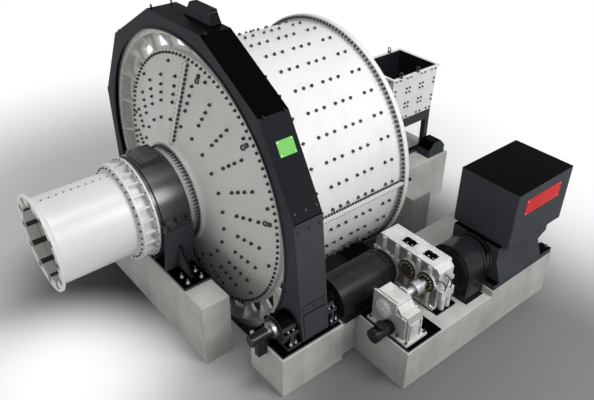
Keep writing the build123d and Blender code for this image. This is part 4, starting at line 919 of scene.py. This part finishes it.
def dressHopper(h):
    box = ["feed_hopper"]
    step = np.array((-0.5, 0.5)) * h["clusterStep"]
    clusterY = np.add.outer(h["clusterY"], step).ravel()
    clusterZ = np.add.outer(h["clusterZ"], step).ravel()
    parts = []
    for side in (1, -1):
        x = (side * h["sideFrom"],)
        start = np.concatenate([spread(x, clusterY, clusterZ), spread(x, h["pairsY"], h["rowsZ"]),
                                spread(x, h["sideY"], h["pairsZ"])])
        parts += bolts(fallOn(box, start, (-side, 0, 0)), (side, 0, 0), h["nut"])
    for side, y in h["endsFrom"]:
        spots = fallOn(box, spread(h["endX"], (y,), h["rowsZ"]), (0, -side, 0))
        parts += bolts(spots, (0, side, 0), h["nut"])
    eyes = fallOn(box, [(x, y, h["eyeFrom"]) for x, y in h["eyes"]], downward)
    eyeRings = rings(eyes + (0, 0, h["eyeLift"]), upward, h["eyeR"], h["eyeThick"])
    collars = stamped(turned(h["eyeCollar"], 12), eyes, upward)
    parts += [(eyeRings, "boltSteel"), (collars, "boltSteel")]
    showPiece("hopperBolts", parts, "foundation")
    showPiece("hopperLiner", [(hopperLiner(h), "glossBlack")], "foundation")


def hopperLiner(h):
    # a rectangle carried up the inside of the walls and down again a sheet's thickness further in
    corner = np.array([(1, 1), (-1, 1), (-1, -1), (1, -1)], float)
    low, high = np.array(h["lowHalf"]), np.array(h["highHalf"])
    sheet = h["linerThick"]
    loops = [(low, h["low"]), (high, h["high"]), (high - sheet, h["high"]), (low - sheet, h["low"])]
    points = np.concatenate([np.c_[corner * half + (0, h["middleY"]), np.full(4, z)] for half, z in loops])
    return points, [between(5, 4) % 16]


dressHopper(hopperSet)
print("hopper details")

# stage

stageSet = {
    "floorZ": 0.9,          # floor level at the piers, over the gear pit
    "reach": 60.0,
    "pitLow": (-3.85, 0.80),
    "pitHigh": (3.009, 5.05),
    # the pit is painted near black, painted shade inside it
    "pitShade": (0.05, 0.05, 0.05, 1.0),
    "floorTone": (0.86, 0.86, 0.85),
    "mid": (-2.0, 2.0), "whiteReach": (4.8, 12.0),      # further out the floor goes over to plain white
    "litPatchMid": (0.9, -2.9), "litPatchReach": (0.5, 3.0),    # painted light: a patch of floor in front glows plain white over the shadows there
    # shades on the floor: middle, widths, where the fade starts and ends, its power, and the darkest share
    "driveShade": ((7.0, 3.5), (4.5, 5.0), (0.6, 1.9), 1.0, 0.12),
    "spoutShade": ((-1.4, -0.5), (1.0, 1.0), (0.4, 3.4), 1.5, 0.02),
    "chuteShade": ((2.2, 6.3), (1.0, 1.0), (1.2, 4.2), 1.0, 0.04),
}


def gridMesh(name, corners, quads, material):
    mesh = bpy.data.meshes.new(name)
    mesh.from_pydata([tuple(c) for c in corners], [], [tuple(q) for q in quads])
    mesh.materials.append(material)
    mesh.update()
    made = bpy.data.objects.new(name, mesh)
    bpy.context.scene.collection.objects.link(made)
    return made


def makeStage(stage):
    floorPaint = Paint("paleFloor", roughness=0.7)
    x, y = floorPaint.part("X"), floorPaint.part("Y")

    def away(mid, wide=(1.0, 1.0)):
        # distance from a spot on the floor, measured in the given widths
        across, along = (x - mid[0]) * (1 / wide[0]), (y - mid[1]) * (1 / wide[1])
        return (across * across + along * along) ** 0.5

    def shade(mid, wide, fade, power, darkest):
        return away(mid, wide).above(*fade) ** power * (1 - darkest) + darkest

    drive, spout, chute = (shade(*stage[name + "Shade"]) for name in ("drive", "spout", "chute"))
    tone = floorPaint.blend(drive * spout * chute, (0.0, 0.0, 0.0), stage["floorTone"])
    floorPaint.feed("Base Color", tone)
    far = away(stage["mid"]).above(*stage["whiteReach"]) * drive
    # painted light: the patch in front glows plain white where seen directly
    near = 1 - away(stage["litPatchMid"]).above(*stage["litPatchReach"])
    plain = far.most(near) * floorPaint.seenDirectly()
    white = floorPaint.node("ShaderNodeEmission", {}, {"Strength": 1.0})
    shader = Wire(floorPaint, floorPaint.shader.outputs[0])
    floorPaint.surface(floorPaint.node("ShaderNodeMixShader", {}, {0: plain, 1: shader, 2: white}))
    # painted shade: the pit's walls and floor are near black
    pitPaint = Paint("pitLining", roughness=0.9)
    pitPaint.feed("Base Color", stage["pitShade"])
    z, reach = stage["floorZ"], stage["reach"]
    (x0, y0), (x1, y1) = stage["pitLow"], stage["pitHigh"]
    xs, ys = [-reach, x0, x1, reach], [-reach, y0, y1, reach]
    corners = [(x, y, z) for y in ys for x in xs]
    quads = [(4 * j + i, 4 * j + i + 1, 4 * j + i + 5, 4 * j + i + 4)
             for j in range(3) for i in range(3) if (i, j) != (1, 1)]
    floor = gridMesh("paleFloor", corners, quads, floorPaint.material)
    ring = [(x0, y0), (x1, y0), (x1, y1), (x0, y1)]
    walls = [(x, y, h) for h in (z, 0.0) for x, y in ring]
    wallQuads = [(i, (i + 1) % 4, 4 + (i + 1) % 4, 4 + i) for i in range(4)] + [(4, 5, 6, 7)]
    pit = gridMesh("gearPit", walls, wallQuads, pitPaint.material)


def makeLight(name, place, target, size, power):
    data = bpy.data.lights.new(name, "AREA")
    data.shape, data.size, data.energy = "DISK", size, power
    lamp = bpy.data.objects.new(name, data)
    bpy.context.scene.collection.objects.link(lamp)
    aim = (Vector(target) - Vector(place)).to_track_quat("-Z", "Y")
    lamp.matrix_world = Matrix.Translation(place) @ aim.to_matrix().to_4x4()


lightSet = {
    "sky": (0.95, 0.97, 1.0, 1.0), "skyStrength": 0.32,
    # place, target, width of the disc and power
    "keyLight": ((15.5, 7.0, 15.0), (0.0, 2.5, 3.0), 9.0, 2120.0),
    "topLight": ((5.0, 2.0, 21.0), (0.0, 2.0, 3.0), 5.0, 760.0),
    "fillLight": ((-3.0, -19.0, 6.0), (0.0, 0.0, 3.0), 10.0, 620.0),
}


def makeWorld(light):
    world = bpy.data.worlds.new("studio")
    bpy.context.scene.world = world
    world.use_nodes = True
    tree = Tree(world.node_tree)
    tree.tree.nodes.remove(tree.tree.nodes["Background"])
    sky = tree.node("ShaderNodeBackground", {}, {"Color": light["sky"], "Strength": light["skyStrength"]})
    white = tree.node("ShaderNodeBackground", {}, {"Color": (1.0, 1.0, 1.0, 1.0), "Strength": 1.0})
    tree.surface(tree.node("ShaderNodeMixShader", {}, {0: tree.seenDirectly(), 1: sky, 2: white}))


makeStage(stageSet)
makeWorld(lightSet)
for lamp in ("keyLight", "topLight", "fillLight"):
    makeLight(lamp, *lightSet[lamp])
bpy.context.scene.view_settings.view_transform = "Standard"
print("stage and lights")
